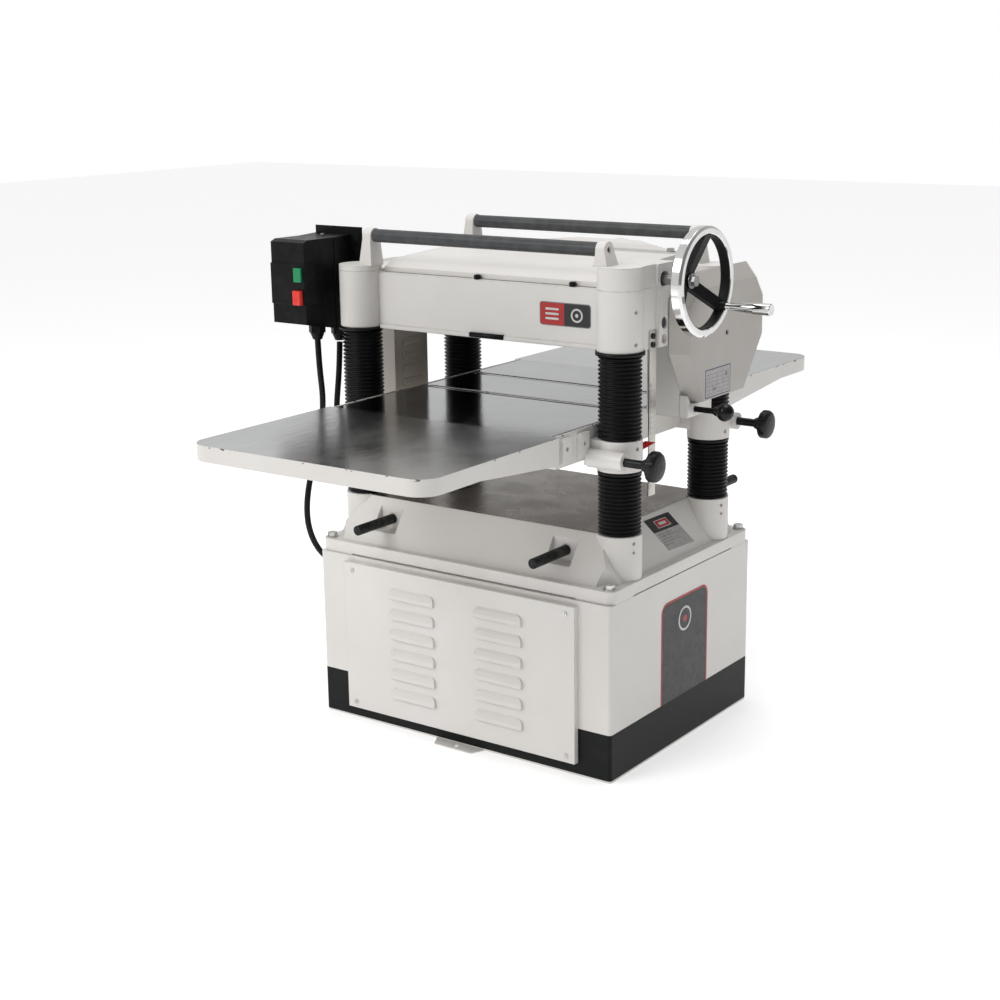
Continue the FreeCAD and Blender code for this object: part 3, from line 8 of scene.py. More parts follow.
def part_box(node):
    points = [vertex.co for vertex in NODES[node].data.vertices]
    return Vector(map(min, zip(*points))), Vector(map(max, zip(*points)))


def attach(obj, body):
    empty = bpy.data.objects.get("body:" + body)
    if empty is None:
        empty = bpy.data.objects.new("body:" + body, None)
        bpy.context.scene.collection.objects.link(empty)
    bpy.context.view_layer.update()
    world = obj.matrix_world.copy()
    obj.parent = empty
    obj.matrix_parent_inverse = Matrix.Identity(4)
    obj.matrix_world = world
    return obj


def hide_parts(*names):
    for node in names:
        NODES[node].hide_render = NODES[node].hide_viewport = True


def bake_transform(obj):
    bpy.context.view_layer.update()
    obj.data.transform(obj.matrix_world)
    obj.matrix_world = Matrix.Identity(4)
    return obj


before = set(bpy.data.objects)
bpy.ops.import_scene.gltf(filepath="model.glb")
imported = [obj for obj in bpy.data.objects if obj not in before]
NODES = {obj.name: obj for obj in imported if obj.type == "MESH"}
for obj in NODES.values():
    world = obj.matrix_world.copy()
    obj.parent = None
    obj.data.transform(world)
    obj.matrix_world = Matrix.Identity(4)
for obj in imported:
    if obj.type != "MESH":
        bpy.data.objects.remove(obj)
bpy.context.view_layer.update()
MM = 0.001

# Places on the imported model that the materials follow, in metres.
DECK_LEVEL = 0.4586           # just under the base casting's planed deck
DECK_HALF_X = 0.2805
DECK_HALF_Y = 0.1945
KICK_BAND = (0.004, 0.096)    # the cabinet's black band
TABLE_LEVEL = 0.66385         # just under the ground table top
CHIP_LEVEL = 0.6605           # paint above this is chipped
TABLE_SIDE = 0.2545           # the ground top ends here; beside it a near-black strip of painted shade stands for a groove
GROOVE_SHADE_WIDTH = 0.0035
WHEEL_Y = -0.088              # handwheel axis
WHEEL_Z = 0.927
WHEEL_RIM_INNER = 0.0856
WHEEL_HUB = (0.3838, 0.4062)  # the painted hub, between the bare shaft and the nut
WHEEL_NUT = 0.0148
SCALE_EDGE = -0.131           # the depth scale's graduated edge and the height of its graduations
SCALE_MARKS = (0.540, 0.740)

# The bellows' section, in millimetres, and one fold as (share of the pitch, radius).
BELLOWS_BORE = 33.6
FOLD_ROOT = 36.6
FOLD = ((0.0, FOLD_ROOT), (0.16, 36.9), (0.36, 39.9), (0.50, 40.9), (0.64, 39.9), (0.84, 36.9))
BELLOWS_COLLAR = 7 * MM


# ---------------------------------------------------------------- camera, light, floor
def make_camera():
    azimuth, elevation, roll = (math.radians(v) for v in (35.74, 14.49, -0.80))
    back = Vector((math.sin(azimuth) * math.cos(elevation),
                   -math.cos(azimuth) * math.cos(elevation), math.sin(elevation)))
    level = Vector((math.cos(azimuth), math.sin(azimuth), 0))
    right = math.cos(roll) * level + math.sin(roll) * back.cross(level)
    up = back.cross(right)
    data = bpy.data.cameras.new("camera")
    data.lens = 62.2
    data.sensor_width = 36
    data.clip_end = 60
    camera = bpy.data.objects.new("camera", data)
    bpy.context.collection.objects.link(camera)
    camera.matrix_world = Matrix(((right.x, up.x, back.x, 1.941), (right.y, up.y, back.y, -2.822),
                                  (right.z, up.z, back.z, 1.329), (0, 0, 0, 1)))
    bpy.context.scene.camera = camera


def area_light(name, place, target, size, power):
    data = bpy.data.lights.new(name, "AREA")
    data.shape = "RECTANGLE"
    data.size, data.size_y = size
    data.energy = power
    lamp = bpy.data.objects.new(name, data)
    bpy.context.collection.objects.link(lamp)
    lamp.location = place
    lamp.rotation_mode = "QUATERNION"
    lamp.rotation_quaternion = (Vector(target) - Vector(place)).to_track_quat("-Z", "Y")


def studio():
    world = bpy.data.worlds.new("studio")
    world.use_nodes = True
    nodes, links = world.node_tree.nodes, world.node_tree.links
    nodes["Background"].inputs["Color"].default_value = (1, 1, 1, 1)
    where = nodes.new("ShaderNodeSeparateXYZ")
    links.new(nodes.new("ShaderNodeTexCoord").outputs["Generated"], where.inputs[0])
    fade = nodes.new("ShaderNodeMapRange")
    for key, number in (("From Min", -0.7), ("From Max", 0.9), ("To Min", 0.80), ("To Max", 0.20)):
        fade.inputs[key].default_value = number
    links.new(where.outputs["X"], fade.inputs["Value"])
    strength = nodes.new("ShaderNodeMix")
    strength.inputs[3].default_value = 1.0
    links.new(nodes.new("ShaderNodeLightPath").outputs["Is Camera Ray"], strength.inputs[0])
    links.new(fade.outputs[0], strength.inputs[2])
    links.new(strength.outputs[0], nodes["Background"].inputs["Strength"])
    bpy.context.scene.world = world
    bpy.context.scene.view_settings.view_transform = "Standard"
    area_light("key", (-1.6, -3.4, 3.4), (0, 0, 0.7), (2.2, 1.8), 56)
    area_light("top", (0.2, 0.4, 3.8), (0, 0, 0.6), (2.4, 2.4), 52)


# ---------------------------------------------------------------- material building
class Look:
    """One node-based material; every pattern is placed by the row frame's coordinates."""

    def __init__(self, name):
        self.material = bpy.data.materials.new(name)
        self.material.use_nodes = True
        self.tree = self.material.node_tree
        self.shader = self.tree.nodes["Principled BSDF"]
        self.place = self.add("ShaderNodeTexCoord").outputs["Object"]

    def add(self, kind, **settings):
        node = self.tree.nodes.new(kind)
        for key, value in settings.items():
            setattr(node, key, value)
        return node

    def link(self, source, target):
        if isinstance(source, (int, float)):
            target.default_value = source
        elif isinstance(source, tuple):
            target.default_value = (*source, 1.0)
        else:
            self.tree.links.new(source, target)

    def math(self, operation, a, b=0.0, clamp=False):
        node = self.add("ShaderNodeMath", operation=operation, use_clamp=clamp)
        self.link(a, node.inputs[0])
        self.link(b, node.inputs[1])
        return node.outputs[0]

    def axis(self, name):
        node = self.add("ShaderNodeSeparateXYZ")
        self.link(self.place, node.inputs[0])
        return node.outputs[name]

    def noise(self, scale, detail=3.0, stretch=(1, 1, 1), roughness=0.55):
        spread = self.add("ShaderNodeMapping")
        spread.inputs["Scale"].default_value = stretch
        self.link(self.place, spread.inputs["Vector"])
        node = self.add("ShaderNodeTexNoise")
        self.link(spread.outputs[0], node.inputs["Vector"])
        node.inputs["Scale"].default_value = scale
        node.inputs["Detail"].default_value = detail
        node.inputs["Roughness"].default_value = roughness
        return node.outputs["Fac"]

    def span(self, value, low, high, to_low=0.0, to_high=1.0):
        node = self.add("ShaderNodeMapRange")
        self.link(value, node.inputs["Value"])
        for key, number in (("From Min", low), ("From Max", high), ("To Min", to_low), ("To Max", to_high)):
            node.inputs[key].default_value = number
        return node.outputs[0]

    def mix(self, share, a, b):
        node = self.add("ShaderNodeMix", data_type="RGBA")
        self.link(share, node.inputs[0])
        self.link(a, node.inputs[6])
        self.link(b, node.inputs[7])
        return node.outputs[2]

    def blend(self, share, a, b):
        node = self.add("ShaderNodeMix", data_type="FLOAT")
        self.link(share, node.inputs[0])
        self.link(a, node.inputs[2])
        self.link(b, node.inputs[3])
        return node.outputs[0]

    def soft_edge(self, radius):
        node = self.add("ShaderNodeBevel", samples=6)
        node.inputs["Radius"].default_value = radius
        return node.outputs[0]

    def edge_share(self, radius):
        """Near 1 on a sharp edge and 0 on a flat face."""
        normal = self.add("ShaderNodeNewGeometry").outputs["Normal"]
        dot = self.add("ShaderNodeVectorMath", operation="DOT_PRODUCT")
        self.link(self.soft_edge(radius), dot.inputs[0])
        self.link(normal, dot.inputs[1])
        return self.span(dot.outputs["Value"], 0.995, 0.80)

    def bump(self, height, distance, base=None, strength=1.0):
        node = self.add("ShaderNodeBump")
        node.inputs["Strength"].default_value = strength
        node.inputs["Distance"].default_value = distance
        self.link(height, node.inputs["Height"])
        if base is not None:
            self.link(base, node.inputs["Normal"])
        return node.outputs[0]

    def set(self, **sockets):
        names = {"color": "Base Color", "rough": "Roughness", "metal": "Metallic", "normal": "Normal",
                 "specular": "Specular IOR Level", "coat": "Coat Weight", "coat_rough": "Coat Roughness"}
        for key, value in sockets.items():
            self.link(value, self.shader.inputs[names[key]])
        return self.material


WHITE = (0.735, 0.715, 0.690)
WHITE_WARM = (0.690, 0.665, 0.632)


def paint(name, peel, peel_depth, edge=0.002, rough=0.36, base=WHITE, shade=WHITE_WARM):
    """Off-white machine paint: orange peel, faint tone drift, dust and thin wear on edges."""
    look = Look(name)
    drift = look.span(look.noise(4.5, 4), 0.35, 0.70)
    color = look.mix(drift, base, shade)
    grime = look.math("MULTIPLY", look.edge_share(edge * 1.6), look.span(look.noise(60, 5), 0.45, 0.75))
    color = look.mix(look.math("MULTIPLY", grime, 0.42), color, (0.36, 0.325, 0.285))
    fine = look.noise(peel, 2)
    normal = look.bump(fine, peel_depth, look.soft_edge(edge))
    normal = look.bump(look.noise(38, 2), peel_depth * 3, normal, 0.35)
    roughness = look.span(look.noise(22, 4), 0.3, 0.7, rough - 0.05, rough + 0.08)
    return look, color, roughness, normal


def plain_paint(name, **kind):
    look, color, roughness, normal = paint(name, **kind)
    return look.set(color=color, rough=roughness, normal=normal, specular=0.45)


def cabinet_paint():
    """Sheet cabinet: a black kick band with scuffs above a bare light rim."""
    look, color, roughness, normal = paint("cabinet_paint", peel=420, peel_depth=0.00006, edge=0.0015,
                                           rough=0.40)
    z = look.axis("Z")
    band = look.math("MULTIPLY", look.math("LESS_THAN", z, KICK_BAND[1]),
                     look.math("GREATER_THAN", z, KICK_BAND[0]))
    scuff = look.span(look.noise(9, 6, (1, 1, 5)), 0.60, 0.82)
    dark = look.mix(look.math("MULTIPLY", scuff, 0.35), (0.0055, 0.0065, 0.0065), (0.032, 0.031, 0.030))
    return look.set(color=look.mix(band, color, dark), rough=look.blend(band, roughness, 0.43), normal=normal,
                    specular=look.blend(band, 0.5, 0.16))


def base_paint():
    """Cast base: painted slopes and a worn, planed deck whose colour is darkened as painted shade and painted
    reflection.
    """
    look, color, roughness, normal = paint("base_paint", peel=210, peel_depth=0.00016, edge=0.0035)
    deck = look.math("GREATER_THAN", look.axis("Z"), DECK_LEVEL)
    for name, half in (("X", DECK_HALF_X), ("Y", DECK_HALF_Y)):
        inside = look.math("LESS_THAN", look.math("ABSOLUTE", look.axis(name)), half)
        deck = look.math("MULTIPLY", deck, inside)
    # Partly real wear, partly painted shade and painted reflection: the deck colours are darkened to stand for the
    # shade under the table and the dark bellows reflected in the deck.
    worn = look.mix(look.span(look.noise(7, 7), 0.30, 0.72), (0.120, 0.100, 0.082), (0.235, 0.210, 0.186))
    streak = look.span(look.noise(30, 6, (1, 0.35, 1)), 0.60, 0.78)
    worn = look.mix(look.math("MULTIPLY", streak, 0.45), worn, (0.085, 0.068, 0.055))
    worn_rough = look.span(look.noise(16, 5), 0.3, 0.7, 0.22, 0.36)
    return look.set(color=look.mix(deck, color, worn), rough=look.blend(deck, roughness, worn_rough),
                    metal=look.math("MULTIPLY", deck, 0.7), normal=normal, specular=0.5)


def ground_table(name, side, rough_low, rough_high, tone):
    """A ground, polished top over painted sides; the edge next to the top is chipped."""
    look, color, roughness, normal = paint(name, peel=230, peel_depth=0.00014, edge=0.0016)
    top = look.math("GREATER_THAN", look.axis("Z"), TABLE_LEVEL)
    across = look.math("ABSOLUTE", look.axis("X"))
    chips = look.span(look.noise(85, 5), 0.60, 0.64)
    near = look.math("GREATER_THAN", look.axis("Z"), CHIP_LEVEL)
    color = look.mix(look.math("MULTIPLY", chips, near), color, (0.10, 0.085, 0.075))
    if side is not None:
        rim = look.math("GREATER_THAN", across, side)
        # Painted shade: a near-black strip beside the ground top stands for the shadow in the groove.
        groove_shade = look.math("MULTIPLY", rim, look.math("LESS_THAN", across, side + GROOVE_SHADE_WIDTH))
        groove_shade = look.math("MULTIPLY", groove_shade, top)
        top = look.math("MULTIPLY", top, look.math("LESS_THAN", across, side))
        color = look.mix(groove_shade, color, (0.030, 0.020, 0.016))
    grain = look.noise(260, 3, (1, 0.045, 1))
    cloud = look.noise(5.5, 4)
    ground = look.mix(look.span(cloud, 0.3, 0.7), tone, tuple(v * 1.22 for v in tone))
    both = look.math("ADD", look.math("MULTIPLY", grain, 0.5), look.math("MULTIPLY", cloud, 0.5))
    ground_rough = look.span(both, 0.35, 0.65, rough_low, rough_high)
    return look.set(color=look.mix(top, color, ground), rough=look.blend(top, roughness, ground_rough), metal=top,
                    normal=look.bump(look.math("MULTIPLY", grain, top), 0.000012, normal))


def dark_rubber(name, scale=300, rough=0.42, depth=0.00005):
    look = Look(name)
    dust = look.span(look.noise(30, 5), 0.52, 0.80)
    color = look.mix(look.math("MULTIPLY", dust, 0.5), (0.0022, 0.0022, 0.0026), (0.010, 0.010, 0.010))
    return look.set(color=color, rough=look.span(look.noise(70, 3), 0.3, 0.7, rough - 0.08, rough + 0.10),
                    normal=look.bump(look.noise(scale, 2), depth), specular=0.22)


def moulded(name, base, worn, rough, grain=900, depth=0.00005, edge=0.0012, coat=0.0, specular=0.14):
    """Moulded plastic with a fine spark texture and polished edges."""
    look = Look(name)
    rub = look.math("MULTIPLY", look.edge_share(edge), 0.55)
    color = look.mix(rub, look.mix(look.span(look.noise(45, 4), 0.4, 0.75), base, worn), worn)
    return look.set(color=color, rough=look.span(look.noise(90, 3), 0.3, 0.7, rough - 0.05, rough + 0.06),
                    normal=look.bump(look.noise(grain, 2), depth, look.soft_edge(edge)), coat=coat,
                    coat_rough=0.1, specular=specular)


def steel(name, color, rough, grain=(1, 1, 1), scale=220, depth=0.00002, edge=0.0006, spots=0.0):
    look = Look(name)
    tone = look.mix(look.span(look.noise(26, 5), 0.35, 0.70), color, tuple(v * 0.72 for v in color))
    if spots:
        tone = look.mix(look.math("MULTIPLY", look.span(look.noise(140, 6), 0.62, 0.72), spots), tone,
                        (0.11, 0.085, 0.065))
    lines = look.noise(scale, 3, grain)
    return look.set(color=tone, metal=1.0, rough=look.span(lines, 0.3, 0.7, rough * 0.75, rough * 1.35),
                    normal=look.bump(lines, depth, look.soft_edge(edge)))


def handwheel_finish():
    """Chromed rim; the spokes, the hub and the rim's inner side keep black paint; zinc nut."""
    look = Look("handwheel_finish")
    y = look.math("SUBTRACT", look.axis("Y"), WHEEL_Y)
    z = look.math("SUBTRACT", look.axis("Z"), WHEEL_Z)
    radius = look.math("SQRT", look.math("ADD", look.math("MULTIPLY", y, y), look.math("MULTIPLY", z, z)))
    x = look.axis("X")
    painted = look.math("LESS_THAN", radius, WHEEL_RIM_INNER)
    nut = look.math("MULTIPLY", look.math("GREATER_THAN", x, WHEEL_HUB[1]),
                    look.math("LESS_THAN", radius, WHEEL_NUT))
    shaft = look.math("LESS_THAN", x, WHEEL_HUB[0])
    bare = look.math("MAXIMUM", nut, shaft)
    painted = look.math("SUBTRACT", painted, bare, clamp=True)
    rough_cast = look.noise(330, 3)
    black = look.mix(look.span(rough_cast, 0.3, 0.8), (0.0035, 0.0035, 0.0035), (0.014, 0.013, 0.013))
    metal_color = look.mix(look.span(look.noise(60, 4), 0.4, 0.7), (0.78, 0.78, 0.77), (0.70, 0.70, 0.69))
    dark_steel = look.mix(bare, metal_color, (0.30, 0.30, 0.30))
    smear = look.span(look.noise(75, 4), 0.3, 0.75, 0.05, 0.13)
    return look.set(color=look.mix(painted, dark_steel, black), metal=look.math("SUBTRACT", 1.0, painted),
                    rough=look.blend(painted, look.blend(bare, smear, 0.30), 0.40),
                    specular=look.blend(painted, 0.5, 0.2),
                    normal=look.bump(look.math("MULTIPLY", rough_cast, painted), 0.00035, look.soft_edge(0.0012)))


def printed(name, base, rough=0.35, grain=700):
    """Ink or film on a flat plate."""
    look = Look(name)
    faded = look.mix(look.span(look.noise(55, 4), 0.35, 0.75), base, tuple(v * 0.84 for v in base))
    return look.set(color=faded, rough=look.span(look.noise(90, 3), 0.3, 0.7, rough - 0.06, rough + 0.08),
                    normal=look.bump(look.noise(grain, 2), 0.00001))


def depth_scale_steel():
    """Brushed steel strip with a graduation every 2 mm and a longer one every 10 mm."""
    look = Look("depth_scale_steel")
    z = look.axis("Z")
    y = look.axis("Y")

    def marks(pitch, width, reach):
        phase = look.math("FRACT", look.math("DIVIDE", z, pitch))
        step = look.math("ABSOLUTE", look.math("SUBTRACT", phase, 0.5))
        line = look.math("LESS_THAN", step, width / pitch)
        return look.math("MULTIPLY", line, look.math("LESS_THAN", y, SCALE_EDGE + reach))
    ink = look.math("MAXIMUM", marks(0.002, 0.00025, 0.006), marks(0.010, 0.00035, 0.012))
    span = look.math("MULTIPLY", look.math("LESS_THAN", z, SCALE_MARKS[1]),
                     look.math("GREATER_THAN", z, SCALE_MARKS[0]))
    ink = look.math("MULTIPLY", ink, span)
    tone = look.mix(look.span(look.noise(30, 5), 0.35, 0.70), (0.56, 0.54, 0.50), (0.43, 0.41, 0.38))
    color = look.mix(ink, tone, (0.02, 0.02, 0.02))
    return look.set(color=color, metal=look.math("SUBTRACT", 1.0, ink),
                    rough=look.span(look.noise(240, 3, (1, 1, 0.05)), 0.3, 0.7, 0.26, 0.42))


def screw_finish():
    """Zinc-plated screws; the two that hold the depth scale are blackened."""
    look = Look("screw_finish")
    on_scale = look.math("GREATER_THAN", look.axis("X"), 0.34)
    on_scale = look.math("MULTIPLY", on_scale, look.math("GREATER_THAN", look.axis("Z"), 0.78))
    tone = look.mix(look.span(look.noise(26, 5), 0.35, 0.70), (0.62, 0.62, 0.60), (0.45, 0.45, 0.43))
    return look.set(color=look.mix(on_scale, tone, (0.006, 0.006, 0.006)),
                    metal=look.math("SUBTRACT", 1.0, on_scale), normal=look.bump(look.noise(220), 0.00002),
                    rough=look.span(look.noise(90, 3), 0.3, 0.7, 0.22, 0.36), specular=0.3)


def dress(nodes, material):
    for name in nodes.split():
        target = NODES[name]
        target.data.materials.clear()
        target.data.materials.append(material)


def dress_nodes():
    cast = plain_paint("cast_paint", peel=210, peel_depth=0.00014, edge=0.0035)
    sheet = plain_paint("sheet_paint", peel=430, peel_depth=0.00005, edge=0.0015, rough=0.38)
    tan = plain_paint("guard_paint", peel=430, peel_depth=0.00005, edge=0.0015, base=(0.50, 0.455, 0.405),
                      shade=(0.44, 0.395, 0.345))
    dress("head_casting head_caps gearbox", cast)
    dress("front_panel top_cover dust_hood", sheet)
    # Painted shade: the gear cover takes a darker copy of the white sheet paint, standing for the shade that falls
    # on it.
    dress("gear_cover", plain_paint("cover_paint", peel=430, peel_depth=0.00005, edge=0.0015, rough=0.38,
                                    base=(0.47, 0.448, 0.420), shade=(0.43, 0.405, 0.378)))
    dress("belt_guard", tan)
    dress("cabinet", cabinet_paint())
    dress("base_casting", base_paint())
    dress("table", ground_table("table_top", TABLE_SIDE, 0.055, 0.13, (0.330, 0.336, 0.338)))
    wing = ground_table("wing_top", None, 0.14, 0.27, (0.450, 0.457, 0.457))
    dress("table_infeed table_outfeed", wing)
    dress("columns", steel("column_steel", (0.62, 0.62, 0.63), 0.12, (1, 1, 0.05)))
    dress("lead_screw_fl lead_screw_fr lead_screw_rl lead_screw_rr feed_drive_shaft motor_rotor",
          steel("screw_steel", (0.44, 0.44, 0.45), 0.30, (1, 1, 6)))
    dress("lead_nuts", steel("nut_bronze", (0.55, 0.38, 0.16), 0.32))
    dress("bed_roller_in bed_roller_out", steel("roller_steel", (0.40, 0.41, 0.41), 0.16, (0.05, 1, 1)))
    dress("infeed_roller outfeed_roller cutterhead", steel("cutter_steel", (0.46, 0.46, 0.47), 0.26, (0.05, 1, 1)))
    dress("knives bearings", steel("knife_steel", (0.66, 0.66, 0.67), 0.18, (0.05, 1, 1)))
    dress("chains kickback_fingers chip_breaker", steel("oiled_steel", (0.13, 0.13, 0.13), 0.42, spots=0.5))
    dress("hex_bolts", steel("zinc", (0.62, 0.62, 0.60), 0.28, spots=0.35))
    dress("cover_screws", screw_finish())
    dress("wheel_handle", steel("handle_chrome", (0.78, 0.78, 0.77), 0.07, (0.2, 1, 1)))
    dress("handwheel", handwheel_finish())
    dress("return_roller_front return_roller_rear",
          moulded("roller_coat", (0.040, 0.042, 0.044), (0.070, 0.072, 0.075), 0.44, 500, 0.00008, specular=0.4))
    dress("lifting_bar_fl lifting_bar_fr lifting_bar_rl lifting_bar_rr",
          moulded("bar_black", (0.009, 0.010, 0.010), (0.050, 0.052, 0.052), 0.46, 420, 0.00012, 0.0014))
    dress("lock_knob_front lock_knob_rear",
          moulded("knob_black", (0.003, 0.003, 0.0035), (0.010, 0.010, 0.011), 0.34, specular=0.3))
    dress("shift_lever", moulded("ball_black", (0.003, 0.003, 0.0035), (0.008, 0.008, 0.009), 0.16, 300, 0.00001,
                                 coat=0.3))
    dress("switch_base switch_cover switch_bracket",
          moulded("switch_black", (0.0028, 0.0028, 0.0032), (0.010, 0.010, 0.011), 0.36, 1100, 0.00006, 0.0022))
    dress("cable_glands", moulded("gland_black", (0.003, 0.003, 0.0035), (0.010, 0.010, 0.011), 0.42))
    dress("mains_plug", moulded("plug_black", (0.0035, 0.0035, 0.004), (0.012, 0.012, 0.013), 0.45, edge=0.003))
    dress("start_button", moulded("green_button", (0.008, 0.235, 0.085), (0.012, 0.300, 0.115), 0.30, edge=0.0018,
                                  specular=0.4))
    dress("stop_button", moulded("red_button", (0.760, 0.030, 0.020), (0.820, 0.060, 0.040), 0.30, edge=0.0018,
                                 specular=0.4))
    dress("depth_pointer", moulded("pointer_red", (0.420, 0.012, 0.014), (0.480, 0.030, 0.030), 0.28, coat=0.3))
    dress("depth_scale", depth_scale_steel())
    dress("drive_belts", dark_rubber("belt_rubber"))
    dress("motor", moulded("motor_black", (0.020, 0.020, 0.022), (0.045, 0.045, 0.047), 0.42, 300, 0.0001))


# ---------------------------------------------------------------- pieces
def piece(name, mesh, material, body="frame"):
    obj = bpy.data.objects.new(name, mesh)
    bpy.context.collection.objects.link(obj)
    mesh.materials.append(material)
    if body:
        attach(obj, body)
    return obj


def lathe(bm, profile, centre, steps=64):
    """Turns (radius, z) points about a vertical line; the profile is closed on itself."""
    rings = []
    for i in range(steps):
        a = 2 * math.pi * i / steps
        rings.append([bm.verts.new((centre[0] + r * math.cos(a), centre[1] + r * math.sin(a), z))
                      for r, z in profile])
    for i in range(steps):
        here, after = rings[i], rings[(i + 1) % steps]
        for j in range(len(profile)):
            k = (j + 1) % len(profile)
            bm.faces.new((here[j], after[j], after[k], here[k]))


def bellows(name, box, folds, outer, body_low, body_high, material):
    """A folded rubber sleeve with a collar on top."""
    low, high = box
    centre = ((low.x + high.x) / 2, (low.y + high.y) / 2)
    z0, z1 = low.z, high.z
    end = z1 - BELLOWS_COLLAR
    pitch = (end - z0) / folds
    outline = [(BELLOWS_BORE * MM, z0)]
    for i in range(folds):
        for share, radius in FOLD:
            outline.append((radius * MM, z0 + pitch * (i + share)))
    outline += [(FOLD_ROOT * MM, end), (outer * MM, end + 0.6 * MM), (outer * MM, z1), (BELLOWS_BORE * MM, z1)]
    bm = bmesh.new()
    lathe(bm, outline, centre, 96)
    bmesh.ops.recalc_face_normals(bm, faces=bm.faces)
    mesh = bpy.data.meshes.new(name)
    bm.to_mesh(mesh)
    bm.free()
    mesh.shade_smooth()
    obj = piece(name, mesh, material, body=None)
    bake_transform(obj)
    return obj


def split_boxes(node):
    """The box of each of the four solids of a node, one at each column."""
    boxes = {}
    for vertex in NODES[node].data.vertices:
        key = ("f" if vertex.co.y < 0 else "r") + ("l" if vertex.co.x < 0 else "r")
        low, high = boxes.setdefault(key, (Vector((9, 9, 9)), Vector((-9, -9, -9))))
        for i in range(3):
            low[i] = min(low[i], vertex.co[i])
            high[i] = max(high[i], vertex.co[i])
    return boxes


def make_bellows():
    rubber = dark_rubber("bellows_rubber", scale=160, rough=0.36, depth=0.00010)
    for node, bodies, folds, collar in (("lower_bellows", ("frame", "table"), 15, 41.4),
                                        ("upper_bellows", ("table", "frame"), 20, 45.9)):
        for key, box in split_boxes(node).items():
            bellows(node + "_" + key, box, folds, collar, *bodies, rubber)
        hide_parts(node)


def flat(points, depth, place):
    """A thin plate: 2-D points in mm, placed by a function from (u, v, height) to the row frame."""
    bm = bmesh.new()
    lower = [bm.verts.new(place(u, v, 0)) for u, v in points]
    upper = [bm.verts.new(place(u, v, depth)) for u, v in points]
    bm.faces.new(upper)
    bm.faces.new(lower[::-1])
    for i in range(len(points)):
        j = (i + 1) % len(points)
        bm.faces.new((lower[i], lower[j], upper[j], upper[i]))
    bmesh.ops.recalc_face_normals(bm, faces=bm.faces)
    return bm


def rounded(u0, u1, v0, v1, radii):
    """A rectangle with its own corner radius at each corner, from lower left, counter-clockwise."""
    corners = ((u0, v0, 1, 1, 180), (u1, v0, -1, 1, 270), (u1, v1, -1, -1, 0), (u0, v1, 1, -1, 90))
    points = []
    for (u, v, su, sv, start), r in zip(corners, radii):
        if r <= 0:
            points.append((u, v))
            continue
        for i in range(9):
            a = math.radians(start + 90 * i / 8)
            points.append((u + su * r + r * math.cos(a), v + sv * r + r * math.sin(a)))
    return points


def ring_points(u, v, r, steps=40):
    return [(u + r * math.cos(2 * math.pi * i / steps), v + r * math.sin(2 * math.pi * i / steps))
            for i in range(steps)]


def plates(name, layers, place):
    """One decal of stacked plates: each layer is (points, height in mm, material)."""
    mesh = bpy.data.meshes.new(name)
    whole = bmesh.new()
    used = []
    for points, height, material in layers:
        if material not in used:
            used.append(material)
        part = flat(points, height, place)
        for face in part.faces:
            face.material_index = used.index(material)
        scrap = bpy.data.meshes.new("scrap")
        part.to_mesh(scrap)
        part.free()
        whole.from_mesh(scrap)
        bpy.data.meshes.remove(scrap)
    whole.to_mesh(mesh)
    whole.free()
    obj = bpy.data.objects.new(name, mesh)
    bpy.context.collection.objects.link(obj)
    for material in used:
        mesh.materials.append(material)
    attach(obj, "frame")


def on_right(x):
    return lambda u, v, h: Vector((x + h, u, v)) * MM


def on_front(y):
    return lambda u, v, h: Vector((u, y - h, v)) * MM


def on_slope(foot, head):
    """Places (u, v, height) on the right slope of the base: u along +Y, v up the slope from its foot."""
    rise = (head - foot).normalized()
    out = Vector((rise.z, 0, -rise.x))
    return lambda u, v, h: (foot + Vector((0, u, 0)) + rise * v + out * h) * MM


